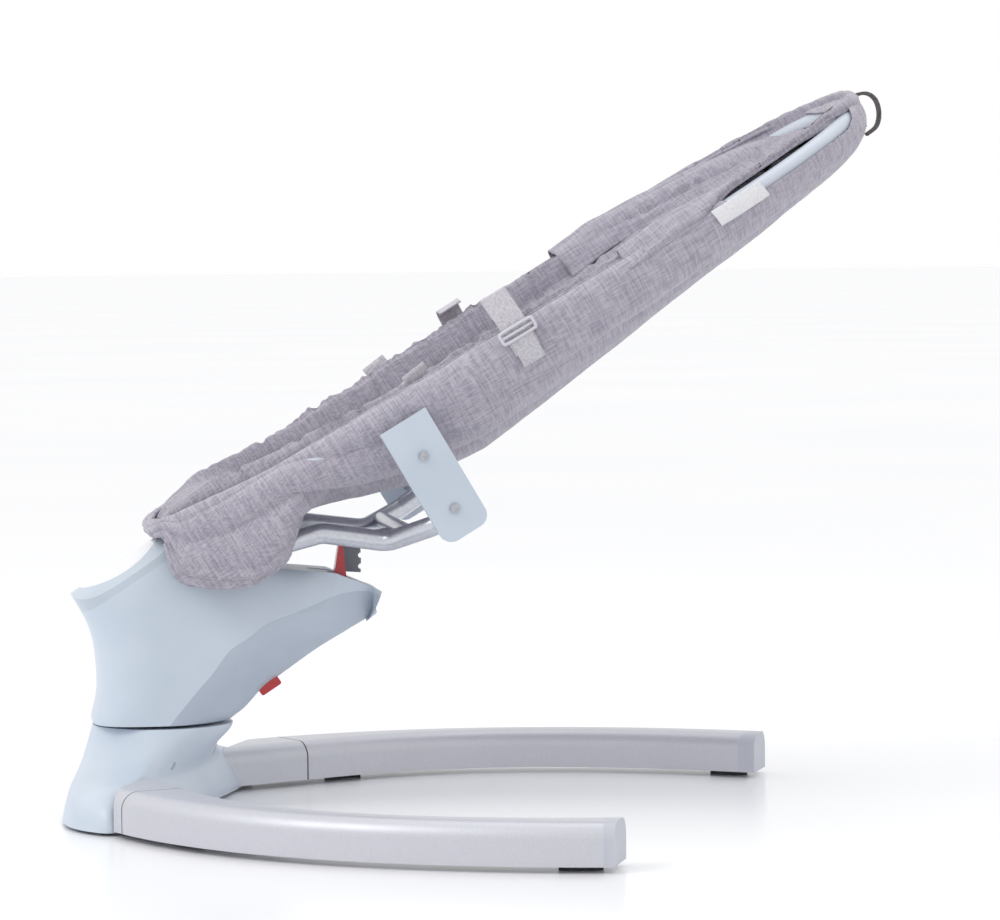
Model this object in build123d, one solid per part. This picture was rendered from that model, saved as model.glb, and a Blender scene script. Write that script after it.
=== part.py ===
from build123d import *
import math
import os

# Baby swing: a seat on a reclining hinge, on a tower that sways about a post in a horseshoe base.
# Millimetres, +Z up.  Origin: on the floor, on the sway axis.  +X: towards the open end of the base.

# ---------------------------------------------------------------- base
FOOT_HEIGHT = 5.5
LEG_HEIGHT = 37.0
LEG_TOP_RADIUS = 16.0
LEG_WALL = 2.5
LEG_FRONT_X = 503.0
LEG_REAR_X = 24.0
LEG_SPLIT = (72.0, 192.0)
# front centre (x, y), front radius, rear radius, then the front end, blend and rear end angles
LEG_OUTER_EDGE = ((388.5, -230.2), 593.0, 456.0, (78.1, 102.0, 140.0))
LEG_INNER_EDGE = ((372.0, -163.0), 480.0, 300.0, (73.35, 98.5, 140.0))
LEG_REAR_STRAIGHT = 150.0
END_CAP_LENGTH = 6.0
GASKET_THICKNESS = 1.6
CONNECTOR_LENGTH = 40.0
CUT_REACH = 900.0
FIT_GAP = 0.3
SHELL_WALL = 3.0
# height, widest x, reach forward, reach back, half width of each pedestal section
PEDESTAL_SECTIONS = [
    (3.0, 20, 20, 96, 205),
    (16.0, 19, 20, 92, 202),
    (30.0, 14, 18, 84, 188),
    (42.0, 9, 22, 80, 140),
    (54.0, 5, 36, 76, 100),
    (67.0, 2, 54, 71, 78),
    (80.0, 0, 66, 66, 66),
]
PEDESTAL_BOTTOM = PEDESTAL_SECTIONS[0][0]
PEDESTAL_TOP = PEDESTAL_SECTIONS[-1][0]
NECK_RADIUS = PEDESTAL_SECTIONS[-1][4]
FLOOR_PLATE_THICKNESS = 3.0
PLATE_INSET = 2.0
POST_RADIUS = 14.0
POST_TOP = 172.0
POST_BORE_RADIUS = 10.0
COIL_RADIUS = 32.0
PEDESTAL_SEAM_X = 12.0
LEG_FEET = [(104.0, 246.0, 42.0), (478.0, 330.0, -10.0)]
FOOT_SIZE = (38.0, 18.0)
PEDESTAL_FOOT = (-50.0, 62.0, 11.0)
PLUG_PLACE = (28.6, 62.0, 47.0)
PLUG_AXIS = (0.87, 0.06, -0.48)
PLUG_RADIUS = 4.0
INLET_PLACE = (-74.0, 40.0, 16.0)
INLET_RADIUS = 5.0
SCREW_RADIUS = 2.0
POST_FLANGE_RADIUS = 33.0
POST_FLANGE_THICKNESS = 5.0
POST_SCREW_CIRCLE = 24.0
MIDDLE_FOOT_RADIUS = 22.0
RUNNING_CLEARANCE = 0.05
# ---------------------------------------------------------------- tower
SWAY_REST = 22.5
SWAY_GAP = 3.0
TOWER_BOTTOM = PEDESTAL_TOP + SWAY_GAP
TOWER_WALL = 2.8
# outer edge and inner edge (x, z each), share of the way between them where the shells part, half width
TOWER_SECTIONS = [
    ((-66, TOWER_BOTTOM), (65, TOWER_BOTTOM), 0.52, 65),
    ((-64, 97), (71, 87.5), 0.54, 64.4),
    ((-61, 125), (80, 95), 0.59, 63),
    ((-63, 150), (86, 101.5), 0.64, 62),
    ((-70, 176), (91, 107), 0.69, 61),
    ((-84, 202), (96, 112), 0.73, 60.3),
    ((-92, 228), (101, 116), 0.75, 60),
    ((-62, 258), (106, 119), 0.745, 59.5),
    ((-20, 270), (111, 122), 0.73, 59),
    ((28, 268), (124, 131), 0.68, 57),
    ((84, 246), (146, 146), 0.61, 53),
    ((140, 236), (170, 160), 0.50, 49),
    ((205, 206), (194, 171), 0.20, 45),
]
SIDE_FULLNESS = 3.6
UNDER_FULLNESS = 1.6
CROWN_LOW = (-80, 206)
CROWN_HIGH = (2, 259)
CROWN_RADIUS = 125.0
BEZEL_DEPTH = 19.0
HEAD_FRONT_X = 8.0
PANEL_LENGTH = 88.0
PANEL_WIDTH = 84.0
PANEL_DEPTH = 5.0
PANEL_GAP = 0.3
PANEL_REACH = 30.0
ARM_TOP_REAR = (HEAD_FRONT_X, 236.0)
ARM_TOP_FRONT = (161.0, 220.0)
ARM_TIP_TOP = (206.0, 201.0)
HINGE = (25.0, 229.0)
HINGE_RADIUS = 6.0
HUB_RADIUS = 16.0
HUB_WIDTH = 12.0
HUB_Y = 72.0
RACK_SLOT = 12.0
BUTTON_PLACE = (100.0, 113.5)
BUTTON_SLOPE = 33.0
BUTTON_SIZE = (22.0, 16.0, 26.0)
BUTTON_PROUD = 6.0
BUTTON_GAP = 0.4
SPRING_STEEL = 0.6
LATCH_PLACE = (166.0, -24.0)
LATCH_TOP = 246.0
# ---------------------------------------------------------------- seat, in its own plane
RECLINE_REST = 31.0
RING_LEVEL = 33.0
RING_TUBE_RADIUS = 9.0
RING_FOOT_S = 18.0
RING_FOOT_RADIUS = 122.0
RING_HEAD_S = 762.0
RING_HEAD_RADIUS = 206.0
RING_SIDE_RADIUS = 1500.0
SLING_THICKNESS = 3.0
PAD_THICKNESS = 16.0
# place along the seat and depth under the ring
SLING_DEPTHS = [(36, 12), (50, 22), (100, 44), (146, 54), (215, 76), (290, 84), (400, 72),
                (500, 60), (600, 50), (700, 38), (738, 20)]
BOLSTER_HEIGHTS = (16, 22, 27, 28, 27, 26, 26, 24, 20, 12, 2)
SLING_FULLNESS = 2.3
SECTION_SPACING = 6.0
RIM_GAP = 2.0
SEAM_CLEARANCE = 0.9
TUBE_RADIUS = 9.5
TUBE_WALL = 1.5
BRACKET_S = 227.0
BRACKET_WIDTH = 48.0
BRACKET_THICKNESS = 8.0
BRACKET_TOP = (180.0, 23.8)
BRACKET_BOTTOM = (163.5, -96.0)
BRACKET_SCREW_LEVELS = (-13.0, -69.0)
SCREW_HEAD_RADIUS = 4.5
CROSSBAR_S = 185.0
CROSSBAR_LEVEL = -75.0
CROSSBAR_RADIUS = 8.0
# along the seat, out from the middle, above the hinge
SUPPORT_ROUTE = [(0, 72, 0), (118, 84, -34), (165, 96, -72), (205, 128, -78), (250, 150, -78)]
SUPPORT_BEND = 24.0
RACK_RADII = (146.0, 164.0)
RACK_ANGLES = (-35.0, -23.0)
RACK_ARM_ANGLES = (-24.5, -22.0)
RACK_STEP = 7.25
RACK_THICKNESS = 8.0
WEBBING_WIDTH = 25.0
WEBBING_THICKNESS = 1.6
STRAP_S = 357.0
STRAP_LEVELS = (42.0, 78.0)
STRAP_GAP = 3.2
STRAP_DROP = 16.0
STRAP_LEAN = 15.0
SLIDER_RISE = 7.0
SLIDER_SIZE = (WEBBING_WIDTH + 8, 3.0, 9.0)
LOOP_RADIUS = 12.0
LOOP_CORD_RADIUS = 2.2
TAG_S = 588.0
TAG_SIZE = (54.0, 1.2, 17.0)
BUCKLE_PLACE = (262.0, 0.0, 6.0)
BUCKLE_SIZE = (44.0, 38.0, 12.0)
CROTCH_ROOT = (232.0, -22.0)
CROTCH_WIDTH = 30.0

sway = Location((0, 0, 0), (0, 0, SWAY_REST))
seat_place = sway * Location((HINGE[0], 0, HINGE[1]), (0, -RECLINE_REST, 0))
nodes = {}


def keep(name, shape):
    nodes[name] = shape


def keep_group(name, shapes):
    nodes[name] = Compound(children=[s.solid() for s in shapes])


def box_between(low, high):
    size = [b - a for a, b in zip(low, high)]
    return Pos(*low) * Box(*size, align=(Align.MIN, Align.MIN, Align.MIN))


def rod(start, end, radius):
    axis = Vector(*end) - Vector(*start)
    plane = Plane(origin=start, z_dir=axis)
    return extrude(plane * Circle(radius), axis.length)


def mirrored(shape):
    return mirror(shape, Plane.XZ)


# ---------------------------------------------------------------- pedestal
def pedestal_outline(section, inset):
    z, middle, forward, back, half = section
    points = []
    for step in range(24):
        angle = 2 * math.pi * step / 24
        reach = (forward if math.cos(angle) > 0 else back) - inset
        points.append((middle + reach * math.cos(angle), (half - inset) * math.sin(angle), z))
    return Face(Wire([Spline(*points, periodic=True)]))


def pedestal_solid(inset):
    return loft([pedestal_outline(s, inset) for s in PEDESTAL_SECTIONS])


pedestal_full = pedestal_solid(0)
pedestal_hollow = pedestal_solid(SHELL_WALL)
roof = box_between((-150, -300, PEDESTAL_TOP - SHELL_WALL), (150, 300, PEDESTAL_TOP + 1))
pedestal_shell = pedestal_full - (pedestal_hollow - roof)
post_hole = Pos(0, 0, PEDESTAL_TOP) * Cylinder(POST_RADIUS + 4, 20)
pedestal_shell -= post_hole


# ---------------------------------------------------------------- legs
def leg_edge(edge, inset):
    (middle_x, middle_y), front_radius, rear_radius, (front, blend, rear) = edge
    blend_angle = math.radians(blend)
    shift = front_radius - rear_radius
    rear_x = middle_x + shift * math.cos(blend_angle)
    rear_y = middle_y + shift * math.sin(blend_angle)
    return [
        CenterArc((middle_x, middle_y), front_radius + inset, front, blend - front),
        CenterArc((rear_x, rear_y), rear_radius + inset, blend, rear - blend),
    ]


def leg_plan(inset):
    outer = leg_edge(LEG_OUTER_EDGE, -inset)
    inner = leg_edge(LEG_INNER_EDGE, inset)
    straight = Line(inner[1] @ 1, (inner[1] @ 1) + (inner[1] % 1) * LEG_REAR_STRAIGHT)
    front = Line(outer[0] @ 0, inner[0] @ 0)
    rear = Line(outer[1] @ 1, straight @ 1)
    return make_face([*outer, rear, straight, *inner, front])


def leg_solid(inset):
    body = extrude(Pos(0, 0, FOOT_HEIGHT + inset) * leg_plan(inset), LEG_HEIGHT - 2 * inset)
    top = body.faces().sort_by(Axis.Z)[-1].edges()
    ends = leg_plan(inset).edges().filter_by(GeomType.LINE).sort_by(Axis.X)
    end_middles = [ends[0].center(), ends[-1].center()]
    long_edges = [e for e in top
                  if all((Vector(e.center().X, e.center().Y, 0) - Vector(m.X, m.Y, 0)).length > 1
                         for m in end_middles)]
    return fillet(long_edges, LEG_TOP_RADIUS - inset)


leg_full = leg_solid(0)
leg_void = leg_solid(LEG_WALL)
leg_wall_body = leg_full - leg_void
cap_plane = Plane(origin=(LEG_FRONT_X - END_CAP_LENGTH - 1, 320, 0), z_dir=(1, -0.19, 0))
split_plane = Plane(origin=(*LEG_SPLIT, 0), z_dir=(0.67, 0.74, 0))


def beyond(plane, low, high):
    return extrude(plane.offset(low) * Rectangle(CUT_REACH, CUT_REACH), high - low)


leg_cap = leg_full & beyond(cap_plane, 0, 80)
leg_front = leg_wall_body & beyond(cap_plane, -480, 0) & beyond(split_plane, GASKET_THICKNESS / 2, 900)
leg_rear = leg_wall_body & beyond(split_plane, -300, -GASKET_THICKNESS / 2)
leg_rear &= box_between((LEG_REAR_X, 0, 0), (300, 400, 60))
leg_rear -= pedestal_full
leg_front = max(leg_front.solids(), key=lambda s: s.volume)
leg_rear = max(leg_rear.solids(), key=lambda s: s.volume)
leg_gasket = leg_wall_body & beyond(split_plane, -GASKET_THICKNESS / 2, GASKET_THICKNESS / 2)
connector_body = leg_solid(LEG_WALL + FIT_GAP)
half_connector = CONNECTOR_LENGTH / 2
leg_connector = connector_body & beyond(split_plane, -half_connector, half_connector)
leg_connector -= leg_solid(LEG_WALL + FIT_GAP + 3.0) + pedestal_full
leg_connector = max(leg_connector.solids(), key=lambda s: s.volume)
keep("leg_end_cap_left", leg_cap)
keep("leg_front_left", leg_front)
keep("leg_rear_left", leg_rear)
keep("leg_end_cap_right", mirrored(leg_cap))
keep("leg_front_right", mirrored(leg_front))
keep("leg_rear_right", mirrored(leg_rear))
keep_group("leg_gaskets", [leg_gasket, mirrored(leg_gasket)])
keep_group("leg_connectors", [leg_connector, mirrored(leg_connector)])


# ---------------------------------------------------------------- pedestal pieces
seat_in_shell = box_between((-200, -300, -10), (PEDESTAL_SEAM_X, 300, 200))


def at_plug(side, start, end, radius):
    axis = Vector(PLUG_AXIS[0], side * PLUG_AXIS[1], PLUG_AXIS[2]).normalized()
    place = Vector(PLUG_PLACE[0], side * PLUG_PLACE[1], PLUG_PLACE[2])
    return rod(place + axis * start, place + axis * end, radius)


for side in (-1, 1):
    pedestal_shell -= at_plug(side, -8, 20, PLUG_RADIUS + FIT_GAP / 2)
inlet_x, inlet_y, inlet_z = INLET_PLACE
inlet_barrel = rod((inlet_x, inlet_y, inlet_z), (inlet_x + 24, inlet_y, inlet_z), INLET_RADIUS)
inlet_bore = rod((inlet_x - 1, inlet_y, inlet_z), (inlet_x + 14, inlet_y, inlet_z), INLET_RADIUS - 2.2)
pedestal_shell -= rod((inlet_x - 20, inlet_y, inlet_z), (inlet_x + 24, inlet_y, inlet_z),
                      INLET_RADIUS + FIT_GAP / 2)
keep("pedestal_rear_shell", pedestal_shell & seat_in_shell)
keep("pedestal_front_shell", pedestal_shell - seat_in_shell)
keep_group("screw_plugs", [at_plug(side, -5, 0.6, PLUG_RADIUS) for side in (-1, 1)])
keep("dc_inlet", (inlet_barrel - inlet_bore) & pedestal_solid(0.2))
floor_outline = pedestal_outline(PEDESTAL_SECTIONS[0], SHELL_WALL + PLATE_INSET)
floor_plate = extrude(floor_outline, FLOOR_PLATE_THICKNESS, dir=(0, 0, 1))
post_screw_places = [(POST_SCREW_CIRCLE * math.cos(a), POST_SCREW_CIRCLE * math.sin(a))
                     for a in (0.8, 2.4, 3.9, 5.5)]
for x, y in post_screw_places:
    floor_plate -= Pos(x, y, PEDESTAL_BOTTOM) * Cylinder(SCREW_RADIUS + 0.1, 10)
keep("base_floor_plate", floor_plate)
flange_bottom = PEDESTAL_BOTTOM + FLOOR_PLATE_THICKNESS
post_body = Pos(0, 0, flange_bottom) * Cylinder(
    POST_FLANGE_RADIUS, POST_FLANGE_THICKNESS, align=(Align.CENTER, Align.CENTER, Align.MIN))
post_body += rod((0, 0, flange_bottom), (0, 0, POST_TOP), POST_RADIUS)
post_body -= rod((0, 0, 0), (0, 0, POST_TOP + 1), POST_BORE_RADIUS)
for x, y in post_screw_places:
    post_body -= Pos(x, y, flange_bottom) * Cylinder(SCREW_RADIUS, 30)
keep("swing_post", post_body)
screw_top = flange_bottom + POST_FLANGE_THICKNESS
keep_group("base_screws", [
    rod((x, y, PEDESTAL_BOTTOM + 0.5), (x, y, screw_top), SCREW_RADIUS)
    + rod((x, y, screw_top), (x, y, screw_top + 2.4), SCREW_HEAD_RADIUS)
    for x, y in post_screw_places])


def ring_between(inner, outer, low, high):
    return rod((0, 0, low), (0, 0, high), outer) - rod((0, 0, low - 1), (0, 0, high + 1), inner)


keep("drive_coil", ring_between(POST_RADIUS + 6, COIL_RADIUS, 54, 70))
coil_carrier = ring_between(POST_RADIUS, COIL_RADIUS, 50, 54)
keep("coil_carrier", coil_carrier)
keep("thrust_washer", ring_between(POST_RADIUS + 8, POST_RADIUS + 20, PEDESTAL_TOP, TOWER_BOTTOM - 0.2))


def leg_foot(x, y, turn):
    length, width = FOOT_SIZE
    return extrude(Pos(x, y, 0) * Rot(0, 0, turn) * SlotOverall(length, width), FOOT_HEIGHT)


feet = [leg_foot(x, side * y, side * turn) for x, y, turn in LEG_FEET for side in (-1, 1)]
foot_x, foot_y, foot_radius = PEDESTAL_FOOT
feet += [rod((foot_x, side * foot_y, 0), (foot_x, side * foot_y, PEDESTAL_BOTTOM), foot_radius)
         for side in (-1, 1)]
feet.append(rod((0, 0, 0), (0, 0, PEDESTAL_BOTTOM), MIDDLE_FOOT_RADIUS))
keep_group("rubber_feet", feet)


# ---------------------------------------------------------------- tower
def toward(start, end, distance):
    length = math.dist(start, end)
    return tuple(a + (b - a) * distance / length for a, b in zip(start, end))


def between(start, end, share):
    return tuple(a + (b - a) * share for a, b in zip(start, end))


def section_curve(parting, edge, half, fullness, start_side):
    points = []
    for step in range(11):
        angle = math.pi * step / 10
        across = math.copysign(abs(math.cos(angle)) ** (2 / fullness), math.cos(angle))
        reach = math.sin(angle) ** (2 / fullness) if 0 < step < 10 else 0.0
        x = parting[0] + (edge[0] - parting[0]) * reach
        z = parting[1] + (edge[1] - parting[1]) * reach
        points.append((x, half * across * start_side, z))
    return Spline(*points)


def tower_loft(inset):
    faces = []
    for outer, inner, share, half in TOWER_SECTIONS:
        parting = between(outer, inner, share)
        upper = section_curve(parting, toward(outer, parting, inset), half - inset, SIDE_FULLNESS, 1)
        under = section_curve(parting, toward(inner, parting, inset), half - inset, UNDER_FULLNESS, -1)
        faces.append(Face(Wire([upper, under])))
    return loft(faces)


def parting_zone():
    partings = [between(outer, inner, share) for outer, inner, share, _ in TOWER_SECTIONS]
    points = [(x, 0, z) for x, z in partings]
    curve = Spline(*points)
    low = Polyline(points[-1], (400, 0, points[-1][2] + 40), (400, 0, 0), (points[0][0], 0, 0), points[0])
    return extrude(make_face([curve, low]), 150, both=True)


crown_angle = math.degrees(math.atan2(CROWN_HIGH[1] - CROWN_LOW[1], CROWN_HIGH[0] - CROWN_LOW[0]))
crown_middle = Location(((CROWN_LOW[0] + CROWN_HIGH[0]) / 2, 0, (CROWN_LOW[1] + CROWN_HIGH[1]) / 2),
                        (0, -crown_angle, 0))


def crown(radius):
    return crown_middle * Pos(0, 0, -CROWN_RADIUS) * Rot(0, 90, 0) * Cylinder(radius, 700)


def prism_xz(points, half):
    face = make_face(Polyline(*[(x, 0, z) for x, z in points], close=True))
    return extrude(face, half, both=True)


def arm_zone(inset):
    return prism_xz([(HEAD_FRONT_X - inset, 40), (HEAD_FRONT_X - inset, ARM_TOP_REAR[1] - inset),
                     (ARM_TOP_FRONT[0], ARM_TOP_FRONT[1] - inset),
                     (ARM_TIP_TOP[0] - inset, ARM_TIP_TOP[1] - inset),
                     (ARM_TIP_TOP[0] + 40 - inset, ARM_TIP_TOP[1] - 12 - inset),
                     (ARM_TIP_TOP[0] + 40 - inset, 40)], 150)


head_zone = box_between((-200, -150, 0), (HEAD_FRONT_X, 150, 400))
zone = (crown(CROWN_RADIUS) & head_zone) + arm_zone(0)
inner_head_zone = box_between((-200, -150, TOWER_BOTTOM + TOWER_WALL), (HEAD_FRONT_X - TOWER_WALL, 150, 400))
inner_zone = (crown(CROWN_RADIUS - 8) & inner_head_zone) + arm_zone(TOWER_WALL)
inner_zone &= box_between((-200, -150, TOWER_BOTTOM + TOWER_WALL), (ARM_TIP_TOP[0] - 10, 150, 400))
bezel_zone = crown_middle * box_between((-200, -150, -BEZEL_DEPTH), (200, 150, 100)) & head_zone
below_parting = parting_zone()
tower_solid = tower_loft(0) & zone
tower_hollow = tower_loft(TOWER_WALL) & inner_zone
boss_radius = HUB_RADIUS - 1
boss = Pos(HINGE[0], 0, HINGE[1]) * Rot(90, 0, 0) * Cylinder(boss_radius, 2 * 56)
boss_hollow = Pos(HINGE[0], 0, HINGE[1]) * Rot(90, 0, 0) * Cylinder(boss_radius - 3, 2 * 44)
housing = (tower_solid + boss) - tower_hollow - boss_hollow - below_parting
rack_slot = box_between((138, -RACK_SLOT / 2, 168), (260, RACK_SLOT / 2, 260))
latch_x, latch_y = LATCH_PLACE
latch_slot = box_between((latch_x - 12, latch_y - 8, 205), (latch_x + 12, latch_y + 8, 260))
axle_hole = Pos(HINGE[0], 0, HINGE[1]) * Rot(90, 0, 0) * Cylinder(HINGE_RADIUS + 3, 200)
housing -= rack_slot + latch_slot + axle_hole


def panel_prism(gap):
    outline = Ellipse(PANEL_LENGTH / 2 + gap, PANEL_WIDTH / 2 + gap)
    return crown_middle * Pos(0, 0, -PANEL_REACH) * extrude(outline, 2 * PANEL_REACH)


panel_pocket = panel_prism(PANEL_GAP)
bezel = (housing & bezel_zone) - (panel_pocket - crown(CROWN_RADIUS - PANEL_DEPTH - PANEL_GAP))
keep("head_bezel", sway * bezel)
tower_body = housing - bezel_zone
keep("tower_housing", sway * max(tower_body.solids(), key=lambda s: s.volume))
panel = (panel_prism(0) & crown(CROWN_RADIUS)) - crown(CROWN_RADIUS - PANEL_DEPTH)
keep("control_panel", sway * panel)
under_cover = (tower_solid & below_parting) - tower_hollow - rack_slot
button_place = Location((BUTTON_PLACE[0], 0, BUTTON_PLACE[1]), (0, -BUTTON_SLOPE, 0))
button_length, button_width, button_depth = BUTTON_SIZE
button_middle = button_place * Pos(0, 0, button_depth / 2 - BUTTON_PROUD)
button_hole = button_middle * Box(button_length + 2 * BUTTON_GAP, button_width + 2 * BUTTON_GAP,
                                  button_depth + 4)
under_cover -= button_hole
post_bore = rod((0, 0, 0), (0, 0, POST_TOP + 3), POST_RADIUS + 3)
keep("arm_under_cover", sway * max((under_cover - post_bore).solids(), key=lambda s: s.volume))
nodes["tower_housing"] = nodes["tower_housing"] - post_bore

button_body = button_middle * Box(button_length, button_width, button_depth)
button_body = fillet(button_body.faces().sort_by(Axis.Z)[0].edges(), 2.5)
keep("recline_button", sway * button_body)
spring_low = button_depth - BUTTON_PROUD
spring_leaves = [(-9, 0.4), (9, 3.7), (-9, 7.0), (-9, 7.0 - SPRING_STEEL), (5, 3.7), (-9, 0.4 + SPRING_STEEL)]
spring_outline = [(x, spring_low + z) for x, z in spring_leaves]
keep("button_spring", sway * button_place * prism_xz(spring_outline, 4))

latch = prism_xz([(latch_x - 7, 208), (latch_x + 7, 208),
                  (latch_x + 3, LATCH_TOP), (latch_x - 1, LATCH_TOP)], 6)
latch = Pos(0, latch_y, 0) * latch
latch_pin_hole = rod((latch_x, latch_y - 20, 211), (latch_x, latch_y + 20, 211), 2.05)
keep("latch_lever", sway * (latch - latch_pin_hole))
keep("latch_pin", sway * rod((latch_x, latch_y - 12, 211), (latch_x, latch_y + 12, 211), 2.0))

bush_places = [(TOWER_BOTTOM + 4, TOWER_BOTTOM + 20), (POST_TOP - 22, POST_TOP - 6)]
keep_group("post_bushes", [sway * ring_between(POST_RADIUS + RUNNING_CLEARANCE, POST_RADIUS + 3, low, high)
                           for low, high in bush_places])
carrier = ring_between(POST_RADIUS + 3.01, POST_RADIUS + 9, TOWER_BOTTOM + 4, POST_TOP - 6)
keep("bearing_carrier", sway * carrier)
magnets = ring_between(POST_RADIUS + 9.2, POST_RADIUS + 24, TOWER_BOTTOM + 4, TOWER_BOTTOM + 12)
keep("magnet_ring", sway * magnets)
board = crown_middle * Pos(0, 0, -26) * Box(64, 56, 1.6)
keep("control_board", sway * board)
speaker = crown_middle * Pos(-8, 0, -40) * Cylinder(16, 9)
keep("speaker", sway * speaker)
hinge_place = Location((HINGE[0], 0, HINGE[1]))
keep("hinge_axle", sway * hinge_place * Rot(90, 0, 0) * Cylinder(HINGE_RADIUS, 2 * (HUB_Y + HUB_WIDTH / 2)))


def across_ring(inner, outer, low, high):
    return rod((0, low, 0), (0, high, 0), outer) - rod((0, low - 1, 0), (0, high + 1, 0), inner)


keep_group("hinge_bushes", [
    sway * hinge_place * across_ring(HINGE_RADIUS + 0.01, HINGE_RADIUS + 2.95,
                                     *sorted((side * 45, side * 56)))
    for side in (-1, 1)])


# ---------------------------------------------------------------- seat
def ring_parts():
    foot_middle = RING_FOOT_S + RING_FOOT_RADIUS
    head_middle = RING_HEAD_S - RING_HEAD_RADIUS
    gap = head_middle - foot_middle
    to_foot = RING_SIDE_RADIUS - RING_FOOT_RADIUS
    to_head = RING_SIDE_RADIUS - RING_HEAD_RADIUS
    side_s = foot_middle + (to_foot ** 2 - to_head ** 2 + gap ** 2) / (2 * gap)
    side_y = -math.sqrt(to_foot ** 2 - (side_s - foot_middle) ** 2)
    foot_angle = math.atan2(-side_y, foot_middle - side_s)
    head_angle = math.atan2(-side_y, head_middle - side_s)
    return foot_middle, head_middle, side_s, side_y, foot_angle, head_angle


def ring_half_width(s, inset=0.0):
    foot_middle, head_middle, side_s, side_y, foot_angle, head_angle = ring_parts()
    if s < foot_middle + RING_FOOT_RADIUS * math.cos(foot_angle):
        return math.sqrt((RING_FOOT_RADIUS - inset) ** 2 - (s - foot_middle) ** 2)
    if s > head_middle + RING_HEAD_RADIUS * math.cos(head_angle):
        return math.sqrt((RING_HEAD_RADIUS - inset) ** 2 - (s - head_middle) ** 2)
    return side_y + math.sqrt((RING_SIDE_RADIUS - inset) ** 2 - (s - side_s) ** 2)


def ring_half_path():
    foot_middle, head_middle, side_s, side_y, foot_angle, head_angle = ring_parts()
    foot, head = math.degrees(foot_angle), math.degrees(head_angle)
    arcs = [CenterArc((foot_middle, 0), RING_FOOT_RADIUS, 180, foot - 180),
            CenterArc((side_s, side_y), RING_SIDE_RADIUS, foot, head - foot),
            CenterArc((head_middle, 0), RING_HEAD_RADIUS, head, -head)]
    return Pos(0, 0, RING_LEVEL) * Wire(arcs)


def tube_along(path, radius):
    return sweep(Plane(origin=path @ 0, z_dir=path % 0) * Circle(radius), path=path)


half_ring = tube_along(ring_half_path(), RING_TUBE_RADIUS)
half_ring -= tube_along(ring_half_path(), RING_TUBE_RADIUS - TUBE_WALL)
keep("seat_ring", seat_place * (half_ring + mirrored(half_ring)))


def bowl(side_gap, depth_gap, rise, lift):
    faces = []
    first, last = SLING_DEPTHS[0][0] + depth_gap, SLING_DEPTHS[-1][0] - depth_gap
    for (s, depth), bolster in zip(SLING_DEPTHS, BOLSTER_HEIGHTS):
        at_end = s in (SLING_DEPTHS[0][0], SLING_DEPTHS[-1][0])
        if not at_end and not first + SECTION_SPACING < s < last - SECTION_SPACING:
            continue
        place = min(max(s, first), last)
        half = ring_half_width(place, RING_TUBE_RADIUS + side_gap)
        low = max(depth - depth_gap, 3.0)
        top = RING_LEVEL + bolster * rise + lift
        points = []
        for step in range(13):
            angle = math.pi * step / 12
            across = math.copysign(abs(math.cos(angle)) ** (2 / SLING_FULLNESS), math.cos(angle))
            drop = math.sin(angle) ** (2 / SLING_FULLNESS) if 0 < step < 12 else 0.0
            points.append((place, half * across, top - (low + bolster * rise + lift) * drop))
        curve = Spline(*points)
        faces.append(Face(Wire([curve, Line(curve @ 1, curve @ 0)])))
    return loft(faces)


sling_inner = bowl(RIM_GAP + SLING_THICKNESS, SLING_THICKNESS, 0, 6)
keep("sling_fabric", seat_place * (bowl(RIM_GAP, 0, 0, 0) - sling_inner))
pad_gap = SLING_THICKNESS + SEAM_CLEARANCE
pad_outer = bowl(RIM_GAP + pad_gap, pad_gap, 1, 0)
pad_inner = bowl(RIM_GAP + pad_gap + PAD_THICKNESS, pad_gap + PAD_THICKNESS, 1, 6)
keep("seat_insert", seat_place * (pad_outer - pad_inner))


def support_tube(side):
    points = [(s, side * y, d) for s, y, d in SUPPORT_ROUTE]
    path = FilletPolyline(*points, radius=SUPPORT_BEND)
    return tube_along(path, TUBE_RADIUS), tube_along(path, TUBE_RADIUS - TUBE_WALL)


supports = {side: support_tube(side) for side in (-1, 1)}
hubs = {side: Pos(0, side * HUB_Y, 0) * Rot(90, 0, 0) * Cylinder(HUB_RADIUS, HUB_WIDTH) for side in (-1, 1)}
axle_in_hub = Rot(90, 0, 0) * Cylinder(HINGE_RADIUS + RUNNING_CLEARANCE, 400)
for side, name in ((1, "left"), (-1, "right")):
    tube = supports[side][0] - supports[side][1] - hubs[side] - axle_in_hub
    keep(f"support_tube_{name}", seat_place * max(tube.solids(), key=lambda s: s.volume))
keep_group("hinge_hubs", [seat_place * (hubs[side] - axle_in_hub) for side in (-1, 1)])
crossbar = rod((CROSSBAR_S, -140, CROSSBAR_LEVEL), (CROSSBAR_S, 140, CROSSBAR_LEVEL), CROSSBAR_RADIUS)
crossbar = (crossbar - supports[1][0] - supports[-1][0]).solids().sort_by(lambda p: abs(p.center().Y))[0]
crossbar_core = rod((CROSSBAR_S, -90, CROSSBAR_LEVEL), (CROSSBAR_S, 90, CROSSBAR_LEVEL),
                    CROSSBAR_RADIUS - TUBE_WALL)
keep("support_crossbar", seat_place * (crossbar - crossbar_core))


def sector(low_radius, high_radius, low_angle, high_angle, thickness):
    edges = [CenterArc((0, 0), high_radius, low_angle, high_angle - low_angle),
             CenterArc((0, 0), low_radius, low_angle, high_angle - low_angle)]
    sides = [Line(edges[0] @ 0, edges[1] @ 0), Line(edges[0] @ 1, edges[1] @ 1)]
    flat = extrude(make_face([*edges, *sides]), thickness / 2, both=True)
    return Rot(90, 0, 0) * flat


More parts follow.
